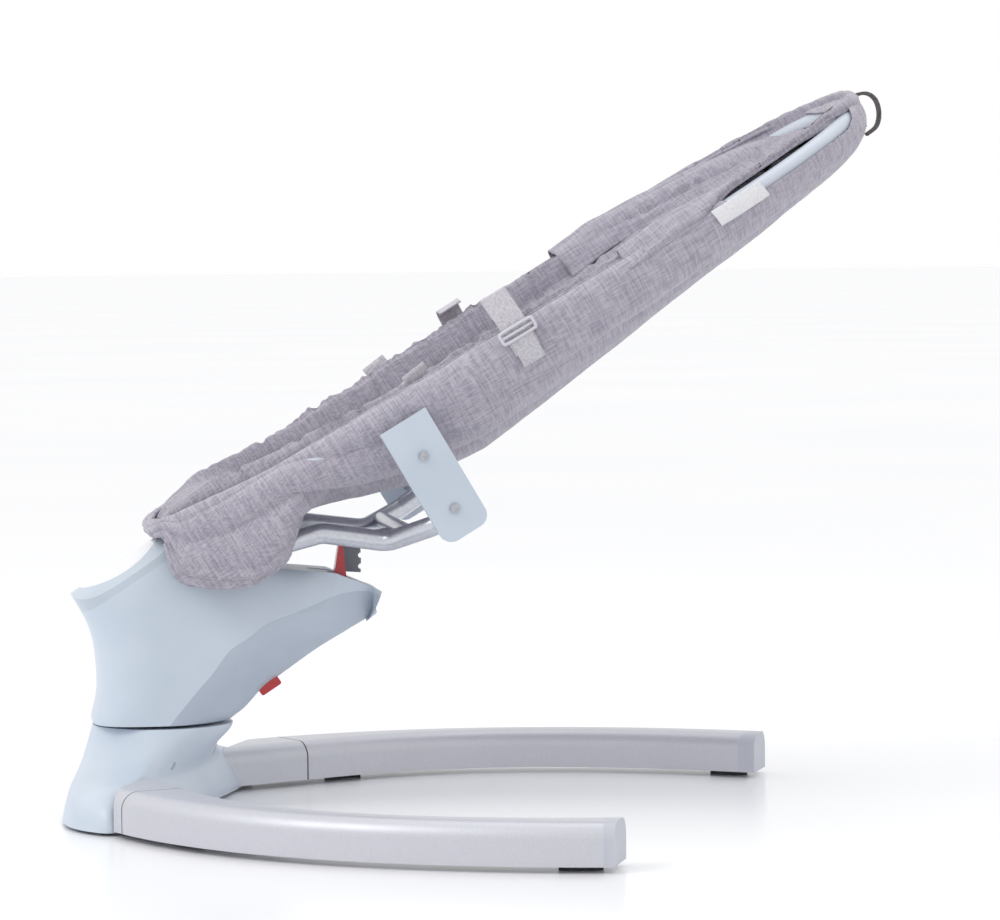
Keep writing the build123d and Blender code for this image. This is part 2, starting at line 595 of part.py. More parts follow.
low_angle, high_angle = RACK_ANGLES
rack = sector(*RACK_RADII, low_angle, high_angle, RACK_THICKNESS)
crossbar_reach = math.hypot(CROSSBAR_S, CROSSBAR_LEVEL)
rack += sector(RACK_RADII[0], crossbar_reach - CROSSBAR_RADIUS + 3, *RACK_ARM_ANGLES, RACK_THICKNESS)
for step in range(2):
    notch_angle = math.radians(low_angle + 2 + step * RACK_STEP / 2)
    notch_x = RACK_RADII[1] * math.cos(notch_angle)
    notch_z = RACK_RADII[1] * math.sin(notch_angle)
    rack -= Pos(notch_x, 0, notch_z) * Rot(90, 0, 0) * Cylinder(2.6, 40)
rack -= Pos(CROSSBAR_S, 0, CROSSBAR_LEVEL) * Rot(90, 0, 0) * Cylinder(CROSSBAR_RADIUS, 100)
keep("recline_rack", seat_place * rack)



def bracket_y(level):
    share = (level - BRACKET_TOP[1]) / (BRACKET_BOTTOM[1] - BRACKET_TOP[1])
    return BRACKET_TOP[0] + share * (BRACKET_BOTTOM[0] - BRACKET_TOP[0])


def side_bracket(side):
    outline = [BRACKET_TOP, (BRACKET_TOP[0] + BRACKET_THICKNESS, BRACKET_TOP[1]),
               (BRACKET_BOTTOM[0] + BRACKET_THICKNESS, BRACKET_BOTTOM[1]), BRACKET_BOTTOM]
    face = make_face(Polyline(*[(0, side * y, d) for y, d in outline], close=True))
    plate = Pos(BRACKET_S, 0, 0) * extrude(face, BRACKET_WIDTH / 2, both=True)
    plate = fillet(plate.edges().filter_by(Axis.Y, tolerance=3).group_by(Axis.Z)[0], 12)
    for level in BRACKET_SCREW_LEVELS:
        plate -= rod((BRACKET_S, 0, level), (BRACKET_S, side * 260, level), SCREW_RADIUS)
    return plate


def bracket_screw(side, level):
    face_y = bracket_y(level) + BRACKET_THICKNESS + 0.6
    shank = rod((BRACKET_S, side * (face_y - 14), level), (BRACKET_S, side * face_y, level), SCREW_RADIUS)
    return shank + rod((BRACKET_S, side * face_y, level), (BRACKET_S, side * (face_y + 2.6), level),
                       SCREW_HEAD_RADIUS)


keep("side_bracket_left", seat_place * side_bracket(1))
keep("side_bracket_right", seat_place * side_bracket(-1))
keep_group("bracket_screws", [seat_place * bracket_screw(side, level)
                              for side in (-1, 1) for level in BRACKET_SCREW_LEVELS])

strap_y = ring_half_width(STRAP_S) + RING_TUBE_RADIUS + STRAP_GAP
strap_low, strap_high = STRAP_LEVELS


def side_strap(side):
    line = [(strap_y, RING_LEVEL - STRAP_DROP), (strap_y, strap_low), (strap_y - STRAP_LEAN, strap_high)]
    points = [(y + WEBBING_THICKNESS, d) for y, d in line] + line[::-1]
    face = make_face(Polyline(*[(0, side * y, d) for y, d in points], close=True))
    return Pos(STRAP_S, 0, 0) * extrude(face, WEBBING_WIDTH / 2, both=True)


def strap_slider(side):
    bar_width, bar_thickness, bar_height = SLIDER_SIZE
    bar = Box(*SLIDER_SIZE) - Box(bar_width - 6, bar_thickness + 1, bar_height - 5)
    out = strap_y + WEBBING_THICKNESS + bar_thickness / 2 + FIT_GAP
    return Pos(STRAP_S, side * out, RING_LEVEL + SLIDER_RISE) * bar


keep_group("side_straps", [seat_place * side_strap(side) for side in (-1, 1)])
keep_group("strap_sliders", [seat_place * strap_slider(side) for side in (-1, 1)])

loop_middle = RING_HEAD_S + RING_TUBE_RADIUS + LOOP_RADIUS - 2.0
loop_path = Wire([CenterArc((0, 0), LOOP_RADIUS, -125, 250)])
loop_cord = Rot(90, 0, 0) * tube_along(loop_path, LOOP_CORD_RADIUS)
keep("carry_loop", seat_place * Pos(loop_middle, 0, RING_LEVEL) * loop_cord)
tag_half = ring_half_width(TAG_S)
tag_turn = math.degrees(math.atan2(ring_half_width(TAG_S + 5) - ring_half_width(TAG_S - 5), 10))
tag = Rot(0, 0, -tag_turn) * Box(*TAG_SIZE)
keep("sewn_tag", seat_place * Pos(TAG_S, -(tag_half + RING_TUBE_RADIUS + 1.6), RING_LEVEL) * tag)

buckle = fillet(Box(*BUCKLE_SIZE).edges().filter_by(Axis.Z), 9)
buckle_s, _, buckle_level = BUCKLE_PLACE
keep("harness_buckle", seat_place * Pos(*BUCKLE_PLACE) * buckle)
root_s, root_level = CROTCH_ROOT
buckle_edge = buckle_s - BUCKLE_SIZE[0] / 2 - FIT_GAP
crotch_line = [(root_s, root_level), (root_s + WEBBING_THICKNESS, root_level),
               (buckle_edge, buckle_level + 0.8), (buckle_edge, buckle_level + 2.4),
               (buckle_edge - 2, buckle_level + 2.4)]
crotch_strap = prism_xz(crotch_line, CROTCH_WIDTH / 2)
keep("harness_crotch_strap", seat_place * crotch_strap)


def waist_strap(side):
    line = [(BUCKLE_SIZE[1] / 2 + FIT_GAP, buckle_level), (95, buckle_level + 6), (112, buckle_level + 10)]
    points = line + [(y, level + WEBBING_THICKNESS) for y, level in reversed(line)]
    face = make_face(Polyline(*[(0, side * y, d) for y, d in points], close=True))
    return Pos(buckle_s + 4, 0, 0) * extrude(face, WEBBING_WIDTH / 2, both=True)


keep_group("harness_waist_straps", [seat_place * waist_strap(side) for side in (-1, 1)])

os.makedirs("parts", exist_ok=True)
for name, shape in nodes.items():
    export_step(shape, f"parts/{name}.step")
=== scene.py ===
# %% [markdown]
# # A baby swing in Blender
# The swing is a fabric seat on a tubular ring, held by a reclining hinge on a moulded tower
# that sways about a post in a horseshoe base. The hard parts come finished from the CAD frame
# and get their surfaces here. The soft parts are built here in cloth-like meshes.

# %% Load the fixed frame
import math

import bmesh
import bpy
import numpy as np
from mathutils import Matrix, Vector, noise


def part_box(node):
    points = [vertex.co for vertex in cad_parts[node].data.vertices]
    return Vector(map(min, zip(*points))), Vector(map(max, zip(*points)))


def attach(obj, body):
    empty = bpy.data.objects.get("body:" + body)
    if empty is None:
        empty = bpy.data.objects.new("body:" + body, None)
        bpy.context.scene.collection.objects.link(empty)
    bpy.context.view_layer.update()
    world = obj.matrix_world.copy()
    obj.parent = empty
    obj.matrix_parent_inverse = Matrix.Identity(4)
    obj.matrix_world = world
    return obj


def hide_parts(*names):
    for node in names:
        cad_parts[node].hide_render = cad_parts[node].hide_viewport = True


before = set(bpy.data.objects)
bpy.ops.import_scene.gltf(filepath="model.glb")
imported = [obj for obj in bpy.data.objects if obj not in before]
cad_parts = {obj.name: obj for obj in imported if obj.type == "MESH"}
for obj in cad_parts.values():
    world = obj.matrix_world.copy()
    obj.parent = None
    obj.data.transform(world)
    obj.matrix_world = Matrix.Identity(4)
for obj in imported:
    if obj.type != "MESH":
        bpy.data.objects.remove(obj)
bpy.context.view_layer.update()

scene = bpy.context.scene

# %% [markdown]
# ## The seat's own directions
# The seat lies in a tilted plane that is turned with the tower. Every fabric piece is drawn in
# that plane: along the seat from the foot end, across it, and up out of it, in millimetres.
# One matrix then carries the points to their place over the hinge axle.

# %% Seat plane
MM = 0.001
SWAY_TURN = math.radians(22.5)
SEAT_TILT = math.radians(31.0)
axle_low, axle_high = (np.array(corner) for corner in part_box("hinge_axle"))
hinge = Vector((axle_low + axle_high) / 2)
seat_matrix = (Matrix.Translation(hinge) @ Matrix.Rotation(SWAY_TURN, 4, "Z")
               @ Matrix.Rotation(-SEAT_TILT, 4, "Y") @ Matrix.Scale(MM, 4))
to_world = np.array(seat_matrix)


def placed(points):
    """Seat millimetres to world metres, for an array of points."""
    points = np.asarray(points, dtype=float)
    return points @ to_world[:3, :3].T + to_world[:3, 3]


print("hinge at, mm:", [round(v * 1000, 1) for v in hinge])

# %% [markdown]
# ## The ring under the fabric
# The fabric is sewn round a tube bent from three kinds of arc: a tight one at the foot, a wide
# one at the head and two long shallow sides. The same arcs give the path that the cloth follows.

# %% Ring path
RING_LEVEL = 33.0
RING_TUBE = 9.0
FOOT_S, FOOT_RADIUS = 18.0, 122.0
HEAD_S, HEAD_RADIUS = 762.0, 206.0
SIDE_RADIUS = 1500.0
foot_middle = FOOT_S + FOOT_RADIUS
head_middle = HEAD_S - HEAD_RADIUS
arc_gap = head_middle - foot_middle
side_s = foot_middle + ((SIDE_RADIUS - FOOT_RADIUS) ** 2 - (SIDE_RADIUS - HEAD_RADIUS) ** 2
                        + arc_gap ** 2) / (2 * arc_gap)
side_y = -math.sqrt((SIDE_RADIUS - FOOT_RADIUS) ** 2 - (side_s - foot_middle) ** 2)
foot_angle = math.atan2(-side_y, foot_middle - side_s)
head_angle = math.atan2(-side_y, head_middle - side_s)


def ring_half(s):
    """Half the ring's width at one place along the seat."""
    if s < foot_middle + FOOT_RADIUS * math.cos(foot_angle):
        return math.sqrt(max(FOOT_RADIUS ** 2 - (s - foot_middle) ** 2, 0.0))
    if s > head_middle + HEAD_RADIUS * math.cos(head_angle):
        return math.sqrt(max(HEAD_RADIUS ** 2 - (s - head_middle) ** 2, 0.0))
    return side_y + math.sqrt(SIDE_RADIUS ** 2 - (s - side_s) ** 2)


def ease(value, low, high):
    """0 below low, 1 above high, and a soft step between."""
    t = np.clip((np.asarray(value, dtype=float) - low) / (high - low), 0.0, 1.0)
    return t * t * (3 - 2 * t)


def hump(value, low, high, edge):
    """1 between low and high, fading to 0 over edge on both sides."""
    return ease(value, low - edge, low) * (1 - ease(value, high, high + edge))


def table(value, pairs):
    """A value read from a short list of (place, value) pairs, joined smoothly."""
    places, values = zip(*pairs)
    return np.interp(value, places, values)


print("ring half width at the middle, mm:", round(ring_half(400), 1))

# %% [markdown]
# ## Mesh helpers
# Cloth is easiest to draw as a grid: rows follow the rim, columns run across it. A second helper
# sweeps a small closed outline along a path, which makes piping, webbing and cords.

# %% Mesh helpers


def new_piece(name, points, faces, material):
    """A smooth mesh piece in world metres."""
    mesh = bpy.data.meshes.new(name)
    mesh.from_pydata([tuple(p) for p in points], [], faces)
    mesh.validate()
    piece = bpy.data.objects.new(name, mesh)
    scene.collection.objects.link(piece)
    for face in mesh.polygons:
        face.use_smooth = True
    mesh.materials.append(material)
    return piece


def grid_faces(rows, columns, close_rows=False, close_columns=False, start=0):
    """Quads of a grid whose points are listed row by row."""
    faces = []
    for i in range(rows if close_rows else rows - 1):
        for j in range(columns if close_columns else columns - 1):
            a, b = i * columns + j, i * columns + (j + 1) % columns
            c, d = ((i + 1) % rows) * columns + (j + 1) % columns, ((i + 1) % rows) * columns + j
            faces.append((start + a, start + b, start + c, start + d))
    return faces


def grid_normals(grid):
    """Unit normals of a grid of points."""
    along = np.gradient(grid, axis=0)
    across = np.gradient(grid, axis=1)
    normal = np.cross(along, across)
    length = np.linalg.norm(normal, axis=2, keepdims=True)
    return normal / np.maximum(length, 1e-9)


def sweep(path, outline, up, closed=False):
    """An outline of (side, up) pairs carried along a path; up is the direction kept upright."""
    path = np.asarray(path, dtype=float)
    tangents = np.gradient(path, axis=0)
    if closed:
        tangents = np.roll(path, -1, axis=0) - np.roll(path, 1, axis=0)
    up = np.broadcast_to(np.asarray(up, dtype=float), path.shape)
    sides = np.cross(tangents, up)
    sides /= np.maximum(np.linalg.norm(sides, axis=1, keepdims=True), 1e-9)
    ups = np.cross(sides, tangents)
    ups /= np.maximum(np.linalg.norm(ups, axis=1, keepdims=True), 1e-9)
    outline = np.asarray(outline, dtype=float)
    grid = (path[:, None] + sides[:, None] * outline[None, :, :1] + ups[:, None] * outline[None, :, 1:])
    rows, columns = grid.shape[:2]
    faces = grid_faces(rows, columns, close_rows=closed, close_columns=True)
    if not closed:
        faces.append(tuple(range(columns))[::-1])
        faces.append(tuple((rows - 1) * columns + j for j in range(columns)))
    return grid.reshape(-1, 3), faces


def round_outline(radius, count=10):
    return [(radius * math.cos(2 * math.pi * i / count), radius * math.sin(2 * math.pi * i / count))
            for i in range(count)]


def curve_through(points, count):
    """Evenly spaced points on a smooth line through a few given ones."""
    points = np.asarray(points, dtype=float)
    padded = np.vstack([2 * points[0] - points[1], points, 2 * points[-1] - points[-2]])
    fine = []
    for k in range(len(points) - 1):
        p0, p1, p2, p3 = padded[k:k + 4]
        for t in np.linspace(0, 1, 24, endpoint=False):
            fine.append(0.5 * (2 * p1 + (p2 - p0) * t + (2 * p0 - 5 * p1 + 4 * p2 - p3) * t ** 2
                               + (3 * p1 - p0 - 3 * p2 + p3) * t ** 3))
    fine.append(points[-1])
    fine = np.array(fine)
    reach = np.concatenate([[0], np.cumsum(np.linalg.norm(np.diff(fine, axis=0), axis=1))])
    wanted = np.linspace(0, reach[-1], count)
    return np.stack([np.interp(wanted, reach, fine[:, k]) for k in range(fine.shape[1])], axis=1)


def wander(points, scale, seed):
    """Smooth noise from -1 to 1 at each point; scale is its size in millimetres."""
    flat = np.asarray(points, dtype=float).reshape(-1, 3) / scale + seed * 17.3
    values = np.array([noise.noise(Vector(p)) for p in flat])
    return values.reshape(np.asarray(points).shape[:-1])


print("helpers ready")

# %% [markdown]
# ## Materials
# Each finish starts from what the real one is: its refractive index, whether it is a metal, and how
# rough its surface was left. Colours are written as sRGB hex values and turned to linear once.
# One helper adds any node with its settings and links.

# %% Material helpers


def linear(hex_colour):
    """sRGB hex to linear RGBA."""
    channels = [int(hex_colour[i:i + 2], 16) / 255 for i in (1, 3, 5)]
    return tuple(c / 12.92 if c <= 0.04045 else ((c + 0.055) / 1.055) ** 2.4 for c in channels) + (1.0,)


def add(tree, kind, settings=None, links=None):
    """Adds one node, sets its sockets or properties, and links its inputs."""
    node = tree.nodes.new(kind)
    for key, value in (settings or {}).items():
        if isinstance(key, int) or key in node.inputs:
            node.inputs[key].default_value = value
        else:
            setattr(node, key, value)
    for key, source in (links or {}).items():
        tree.links.new(source, node.inputs[key])
    return node


def new_material(name, settings):
    """A material with one Principled shader and the given constants."""
    material = bpy.data.materials.new(name)
    material.use_nodes = True
    tree = material.node_tree
    tree.nodes.clear()
    shader = add(tree, "ShaderNodeBsdfPrincipled", settings)
    add(tree, "ShaderNodeOutputMaterial", links={"Surface": shader.outputs[0]})
    return material, tree, shader


def per_metre(size_mm):
    """A texture scale that gives features of this size."""
    return 1000.0 / size_mm


def two_tones(tree, factor, first, second, low=0.35, high=0.65):
    """A soft ramp between two colours."""
    ramp = add(tree, "ShaderNodeValToRGB", links={"Fac": factor})
    ramp.color_ramp.elements[0].position = low
    ramp.color_ramp.elements[0].color = linear(first)
    ramp.color_ramp.elements[1].position = high
    ramp.color_ramp.elements[1].color = linear(second)
    return ramp.outputs["Color"]


# %% [markdown]
# ### Moulded plastics
# The tower and base are ABS, injection moulded in a spark-eroded tool: a satin skin with a fine
# grain about 0.4 mm across. That is too fine to show, so the grain is drawn at 1.2 mm. The mould's
# flow leaves the colour very slightly uneven over some centimetres. The panel is a glossy acrylic
# film, and the small end caps are polypropylene, softer and a little duller.

# %% Plastics


def moulded(name, shade, deep, ior, roughness, grain_mm, grain_depth, coat=0.0):
    material, tree, shader = new_material(name, {
        "IOR": ior, "Roughness": roughness, "Coat Weight": coat, "Coat Roughness": 0.12})
    place = add(tree, "ShaderNodeTexCoord").outputs["Object"]
    clouds = add(tree, "ShaderNodeTexNoise", {"Scale": per_metre(70), "Detail": 3.0}, {"Vector": place})
    tree.links.new(two_tones(tree, clouds.outputs["Fac"], deep, shade), shader.inputs["Base Color"])
    grain = add(tree, "ShaderNodeTexNoise", {"Scale": per_metre(grain_mm), "Detail": 2.0}, {"Vector": place})
    rough = add(tree, "ShaderNodeMapRange", {"To Min": roughness - 0.05, "To Max": roughness + 0.06},
                {"Value": clouds.outputs["Fac"]})
    tree.links.new(rough.outputs["Result"], shader.inputs["Roughness"])
    bump = add(tree, "ShaderNodeBump", {"Strength": grain_depth, "Distance": 0.0002},
               {"Height": grain.outputs["Fac"]})
    tree.links.new(bump.outputs["Normal"], shader.inputs["Normal"])
    return material


abs_housing = moulded("abs_satin_blue_white", "#c6d0dc", "#bfcad7", 1.54, 0.36, 1.2, 0.12)
# The arm's under cover and the base's floor plate take a darker copy of the housing's ABS: painted shade for
# the shade they sit in under other parts.
abs_painted_shade_under = moulded("abs_satin_painted_shade_under", "#b6c1ce", "#afbac8", 1.54, 0.40, 1.2, 0.14)
abs_bezel = moulded("abs_satin_bezel", "#bcc7d2", "#b5c0cc", 1.54, 0.34, 1.2, 0.10)
acrylic_panel = moulded("acrylic_gloss_panel", "#e6e6ea", "#e0e1e6", 1.49, 0.12, 2.0, 0.03, coat=0.4)
cap_plastic = moulded("polypropylene_end_cap", "#bec1ca", "#b7bbc5", 1.49, 0.42, 1.2, 0.12)
acetal_grey = moulded("acetal_grey", "#a9abb2", "#9fa2aa", 1.48, 0.38, 1.4, 0.10)
red_plastic = moulded("abs_gloss_red", "#c8222b", "#b81c26", 1.54, 0.22, 1.4, 0.05, coat=0.3)
buckle_plastic = moulded("acetal_buckle_grey", "#8f9098", "#85868f", 1.48, 0.34, 1.4, 0.10)
slider_plastic = moulded("acetal_slider_pale", "#d4d3da", "#cac9d1", 1.48, 0.34, 1.4, 0.08)
circuit_board = moulded("glass_epoxy_board", "#2c5b40", "#234c35", 1.55, 0.40, 1.0, 0.20)
rack_nylon = moulded("nylon_rack_grey", "#7f838b", "#757982", 1.53, 0.42, 1.4, 0.14)
rubber = moulded("rubber_feet", "#4b4d52", "#414348", 1.52, 0.75, 1.6, 0.50)

# %% [markdown]
# ### Metals
# The legs are steel with a sprayed silver lacquer: tiny aluminium flakes in a clear binder, so it
# glints finely but has no brushing. The tubes are bare aluminium, drawn lengthwise. Screws, axle
# and post are zinc-plated steel, which is brighter and a little mottled by the plating bath.

# %% Metals


def metal(name, shade, deep, roughness, metallic, spot_mm, coat=0.0):
    material, tree, shader = new_material(name, {
        "Metallic": metallic, "Roughness": roughness, "Coat Weight": coat, "Coat Roughness": 0.25})
    place = add(tree, "ShaderNodeTexCoord").outputs["Object"]
    flakes = add(tree, "ShaderNodeTexVoronoi", {"Scale": per_metre(spot_mm)}, {"Vector": place})
    tree.links.new(two_tones(tree, flakes.outputs["Color"], deep, shade, 0.2, 0.8),
                   shader.inputs["Base Color"])
    clouds = add(tree, "ShaderNodeTexNoise", {"Scale": per_metre(45), "Detail": 3.0}, {"Vector": place})
    rough = add(tree, "ShaderNodeMapRange", {"To Min": roughness - 0.05, "To Max": roughness + 0.07},
                {"Value": clouds.outputs["Fac"]})
    tree.links.new(rough.outputs["Result"], shader.inputs["Roughness"])
    bump = add(tree, "ShaderNodeBump", {"Strength": 0.08, "Distance": 0.0002},
               {"Height": flakes.outputs["Distance"]})
    tree.links.new(bump.outputs["Normal"], shader.inputs["Normal"])
    return material


silver_lacquer = metal("silver_lacquer_legs", "#c9cad1", "#c4c5cd", 0.44, 0.45, 1.0, coat=0.15)
drawn_aluminium = metal("drawn_aluminium_tube", "#c9ccd2", "#c0c3ca", 0.30, 1.0, 2.0)
zinc_steel = metal("zinc_plated_steel", "#b9bbc0", "#a9acb2", 0.34, 1.0, 2.5)
copper_wire = metal("enamelled_copper", "#b87048", "#a4613d", 0.35, 1.0, 1.0, coat=0.3)
ring_lacquer = moulded("powder_coat_ring", "#ccd3dd", "#c6cdd8", 1.50, 0.34, 1.6, 0.20)

# %% [markdown]
# ### Cloth
# The covers are a linen-look polyester: plain weave from uneven, slubby yarn, two tones of grey
# lilac. Its threads are about 0.5 mm apart, too fine to show, so slubs 1.6 mm wide and 20 mm long
# stand for them, one set along the seat and one across. The yarn's fuzz is a low sheen.

# %% Woven cloth


def seat_aligned(tree, along_mm, across_mm):
    """Texture coordinates in the seat's directions, with features of these two sizes."""
    place = add(tree, "ShaderNodeTexCoord").outputs["Object"]
    turned = add(tree, "ShaderNodeVectorRotate", {"rotation_type": "Z_AXIS", "Angle": -SWAY_TURN},
                 {"Vector": place})
    tilted = add(tree, "ShaderNodeVectorRotate", {"rotation_type": "Y_AXIS", "Angle": SEAT_TILT},
                 {"Vector": turned.outputs[0]})
    scaled = add(tree, "ShaderNodeMapping",
                 {"Scale": (per_metre(along_mm), per_metre(across_mm), per_metre(across_mm))},
                 {"Vector": tilted.outputs[0]})
    return scaled.outputs[0]


def woven(name, light, mid, dark, slub_long_mm, slub_wide_mm, depth, sheen=0.25):
    material, tree, shader = new_material(name, {
        "IOR": 1.46, "Roughness": 0.92, "Sheen Weight": sheen, "Sheen Roughness": 0.45,
        "Specular IOR Level": 0.25})
    warp = add(tree, "ShaderNodeTexNoise", {"Scale": 1.0, "Detail": 3.0},
               {"Vector": seat_aligned(tree, slub_long_mm, slub_wide_mm)})
    weft = add(tree, "ShaderNodeTexNoise", {"Scale": 1.0, "Detail": 3.0},
               {"Vector": seat_aligned(tree, slub_wide_mm, slub_long_mm)})
    cloth = add(tree, "ShaderNodeMath", {"operation": "ADD"},
                {0: warp.outputs["Fac"], 1: weft.outputs["Fac"]})
    half = add(tree, "ShaderNodeMath", {"operation": "MULTIPLY", 1: 0.5}, {0: cloth.outputs[0]})
    ramp = add(tree, "ShaderNodeValToRGB", links={"Fac": half.outputs[0]})
    ramp.color_ramp.elements[0].position = 0.38
    ramp.color_ramp.elements[0].color = linear(dark)
    ramp.color_ramp.elements[1].position = 0.60
    ramp.color_ramp.elements[1].color = linear(light)
    middle = ramp.color_ramp.elements.new(0.5)
    middle.color = linear(mid)
    tree.links.new(ramp.outputs["Color"], shader.inputs["Base Color"])
    bump = add(tree, "ShaderNodeBump", {"Strength": depth, "Distance": 0.0006},
               {"Height": half.outputs[0]})
    tree.links.new(bump.outputs["Normal"], shader.inputs["Normal"])
    return material


linen_cover = woven("linen_look_polyester_cover", "#b5b1bb", "#a6a2ae", "#938f9b", 22, 1.6, 0.5)
linen_insert = woven("linen_look_polyester_insert", "#a8a4ae", "#9995a1", "#87838f", 20, 1.5, 0.5)
linen_panel = woven("linen_look_polyester_panel", "#b1adb7", "#a29eaa", "#908c98", 20, 1.6, 0.5)
piping_cloth = woven("bias_tape_piping", "#9c98a2", "#8d8993", "#7d7984", 6, 1.2, 0.4)
loop_tape = woven("grosgrain_loop_brown", "#6d6869", "#5d5859", "#4e494b", 5, 1.2, 0.5)
webbing = woven("polyester_webbing", "#c9c7cc", "#bebbc2", "#adaab3", 4, 1.0, 0.7, sheen=0.15)
satin_tag = woven("satin_ribbon_tag", "#e4e4e7", "#dedee2", "#d3d3d8", 3, 0.9, 0.2, sheen=0.1)
print("materials:", len(bpy.data.materials))

# %% [markdown]
# ## Finishes on the CAD parts
# The hard shapes are right as they are, so each keeps its mesh and only takes its finish.

# %% Dress the CAD nodes
FINISHES = {
    abs_housing: ["tower_housing", "pedestal_rear_shell", "pedestal_front_shell", "side_bracket_left",
                  "side_bracket_right", "screw_plugs"],
    # darker copy of the housing ABS: painted shade under the arm and on the floor plate
    abs_painted_shade_under: ["arm_under_cover", "base_floor_plate"],
    abs_bezel: ["head_bezel"],
    acrylic_panel: ["control_panel"],
    cap_plastic: ["leg_end_cap_left", "leg_end_cap_right"],
    silver_lacquer: ["leg_front_left", "leg_front_right", "leg_rear_left", "leg_rear_right"],
    rubber: ["leg_gaskets", "rubber_feet", "dc_inlet"],
    zinc_steel: ["leg_connectors", "base_screws", "swing_post", "hinge_axle", "latch_pin", "button_spring",
                 "bracket_screws", "magnet_ring"],
    copper_wire: ["drive_coil"],
    acetal_grey: ["coil_carrier", "thrust_washer", "bearing_carrier", "post_bushes", "hinge_bushes",
                  "hinge_hubs", "speaker"],
    circuit_board: ["control_board"],
    red_plastic: ["recline_button", "latch_lever"],
    drawn_aluminium: ["support_tube_left", "support_tube_right", "support_crossbar"],
    ring_lacquer: ["seat_ring"],
    rack_nylon: ["recline_rack"],
}
for finish, names in FINISHES.items():
    for name in names:
        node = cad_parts[name]
        node.data.materials.clear()
        node.data.materials.append(finish)
print("CAD parts dressed:", sum(len(names) for names in FINISHES.values()))

# %% [markdown]
# ## Where the cover runs
# The cover is a bag of cloth round the ring. Its rim follows the ring, except at the foot end,
# where it widens to hide the hinge hubs and hangs beside the tower's head as a small sac.
# The rim is a list of stations; each knows its level, its roll radius and where the cloth ends.

# %% Rim stations
FOOT_RIM = [(-9.0, 0.0), (-9.0, 30.0), (-4.0, 52.0), (10.0, 70.0), (26.0, 81.0), (50.0, 91.0), (80.0, 106.0)]
RIM_JOIN = 105.0
rim_plan = [tuple(p) for p in FOOT_RIM]
for s in np.arange(RIM_JOIN, head_middle + HEAD_RADIUS * math.cos(head_angle), 24.0):
    rim_plan.append((s, ring_half(s)))
for angle in np.linspace(head_angle * 0.97, 0.0, 16):
    rim_plan.append((head_middle + HEAD_RADIUS * math.cos(angle), HEAD_RADIUS * math.sin(angle)))
ROWS = 260
rim = curve_through(rim_plan, ROWS)
rim_run = np.concatenate([[0], np.cumsum(np.linalg.norm(np.diff(rim, axis=0), axis=1))])
rim_out = np.gradient(rim, axis=0)
rim_out = np.stack([-rim_out[:, 1], rim_out[:, 0]], axis=1)
rim_out /= np.linalg.norm(rim_out, axis=1, keepdims=True)
rim_out[0], rim_out[-1] = (-1, 0), (1, 0)
rim_s, rim_y = rim[:, 0], rim[:, 1]
rim_level = table(rim_run, [(0, 46), (60, 45), (85, 40), (130, 36), (190, 33), (2000, 33)])
rim_roll = table(rim_run, [(0, 7), (60, 8), (90, 12), (190, 11.6), (2000, 11.6)])
DEPTHS = [(36, 12), (50, 22), (100, 44), (146, 53), (215, 76), (290, 84), (400, 72), (500, 60), (600, 50),
          (700, 38), (738, 22)]
# run along the rim, then along, across and up of the place where the cloth ends
CLOTH_END = [(0, -8, 0, 40), (52, -8, 48, 40), (66, -9, 66, 34), (76, -14, 82, 20), (88, -19, 86, 2),
             (104, -6, 88, -12), (120, 8, 88, -24), (145, 38, 92, -40), (170, 72, 94, -38),
             (195, 98, 86, -16),
             (215, 112, 48, -10), (240, 126, 0, -14)]
print("rim length of one side, mm:", round(rim_run[-1]))

# %% [markdown]
# ## The outer cover
# Real covers are cut from flat panels, pulled over the ring and held by elastic, so they show long
# folds that gather at the foot and fade towards the head. The cover is drawn as a grid: each row
# rolls over the ring and drops to the bottom of the seat. The folds are then pushed along the
# cloth's own normals, and a thin solidify gives it an edge.

# %% Cover grid
COLUMNS = 96
ROLL_START = math.radians(35)
EYE_LOW, EYE_HIGH = 548.0, 731.0
FULLNESS = 2.25


def cover_end(run, s):
    """Where a row of the cover ends: at the sac's hem near the foot, else on the middle line."""
    reach, *_ = zip(*CLOTH_END)
    hem = [np.interp(run, reach, [row[k] for row in CLOTH_END]) for k in (1, 2, 3)]
    middle_s = min(s, 640.0) + max(s - 640.0, 0.0) * 0.6
    middle = [middle_s, 0.0, RING_LEVEL - table(middle_s, DEPTHS)]
    share = float(ease(run, 225, 255))
    return [a * (1 - share) + b * share for a, b in zip(hem, middle)]


def cover_row(index, eye):
    """Points of one row, from the rolled rim to the end of the cloth."""
    s, y = rim[index]
    out, level, roll = rim_out[index], rim_level[index], rim_roll[index]
    end_s, end_y, end_up = cover_end(rim_run[index], s)
    points = []
    for angle in np.linspace(ROLL_START, math.pi, 22):
        reach = -roll * math.cos(angle)
        points.append((s + out[0] * reach, y + out[1] * reach, level + roll * math.sin(angle)))
    start = points[-1]
    for turn in np.linspace(0, math.pi / 2, 70)[1:]:
        keep = math.cos(turn) ** (2 / FULLNESS) if turn < math.pi / 2 - 1e-6 else 0.0
        drop = math.sin(turn) ** (2 / FULLNESS)
        points.append((end_s + (start[0] - end_s) * keep, end_y + (start[1] - end_y) * keep,
                       level + (end_up - level) * drop))
    points = np.array(points)
    run = np.concatenate([[0], np.cumsum(np.linalg.norm(np.diff(points, axis=0), axis=1))])
    opening = eye * float(hump(s, EYE_LOW + 48, EYE_HIGH - 14, 46)) * (roll * (math.pi - ROLL_START) + 3)
    if rim_run[index] < 260:
        opening = 0.0
    # columns crowd towards the rim, where the cloth turns most
    spread = np.linspace(0, 1, COLUMNS) ** 1.25
    wanted = opening + spread * (run[-1] - opening)
    return np.stack([np.interp(wanted, run, points[:, k]) for k in range(3)], axis=1)


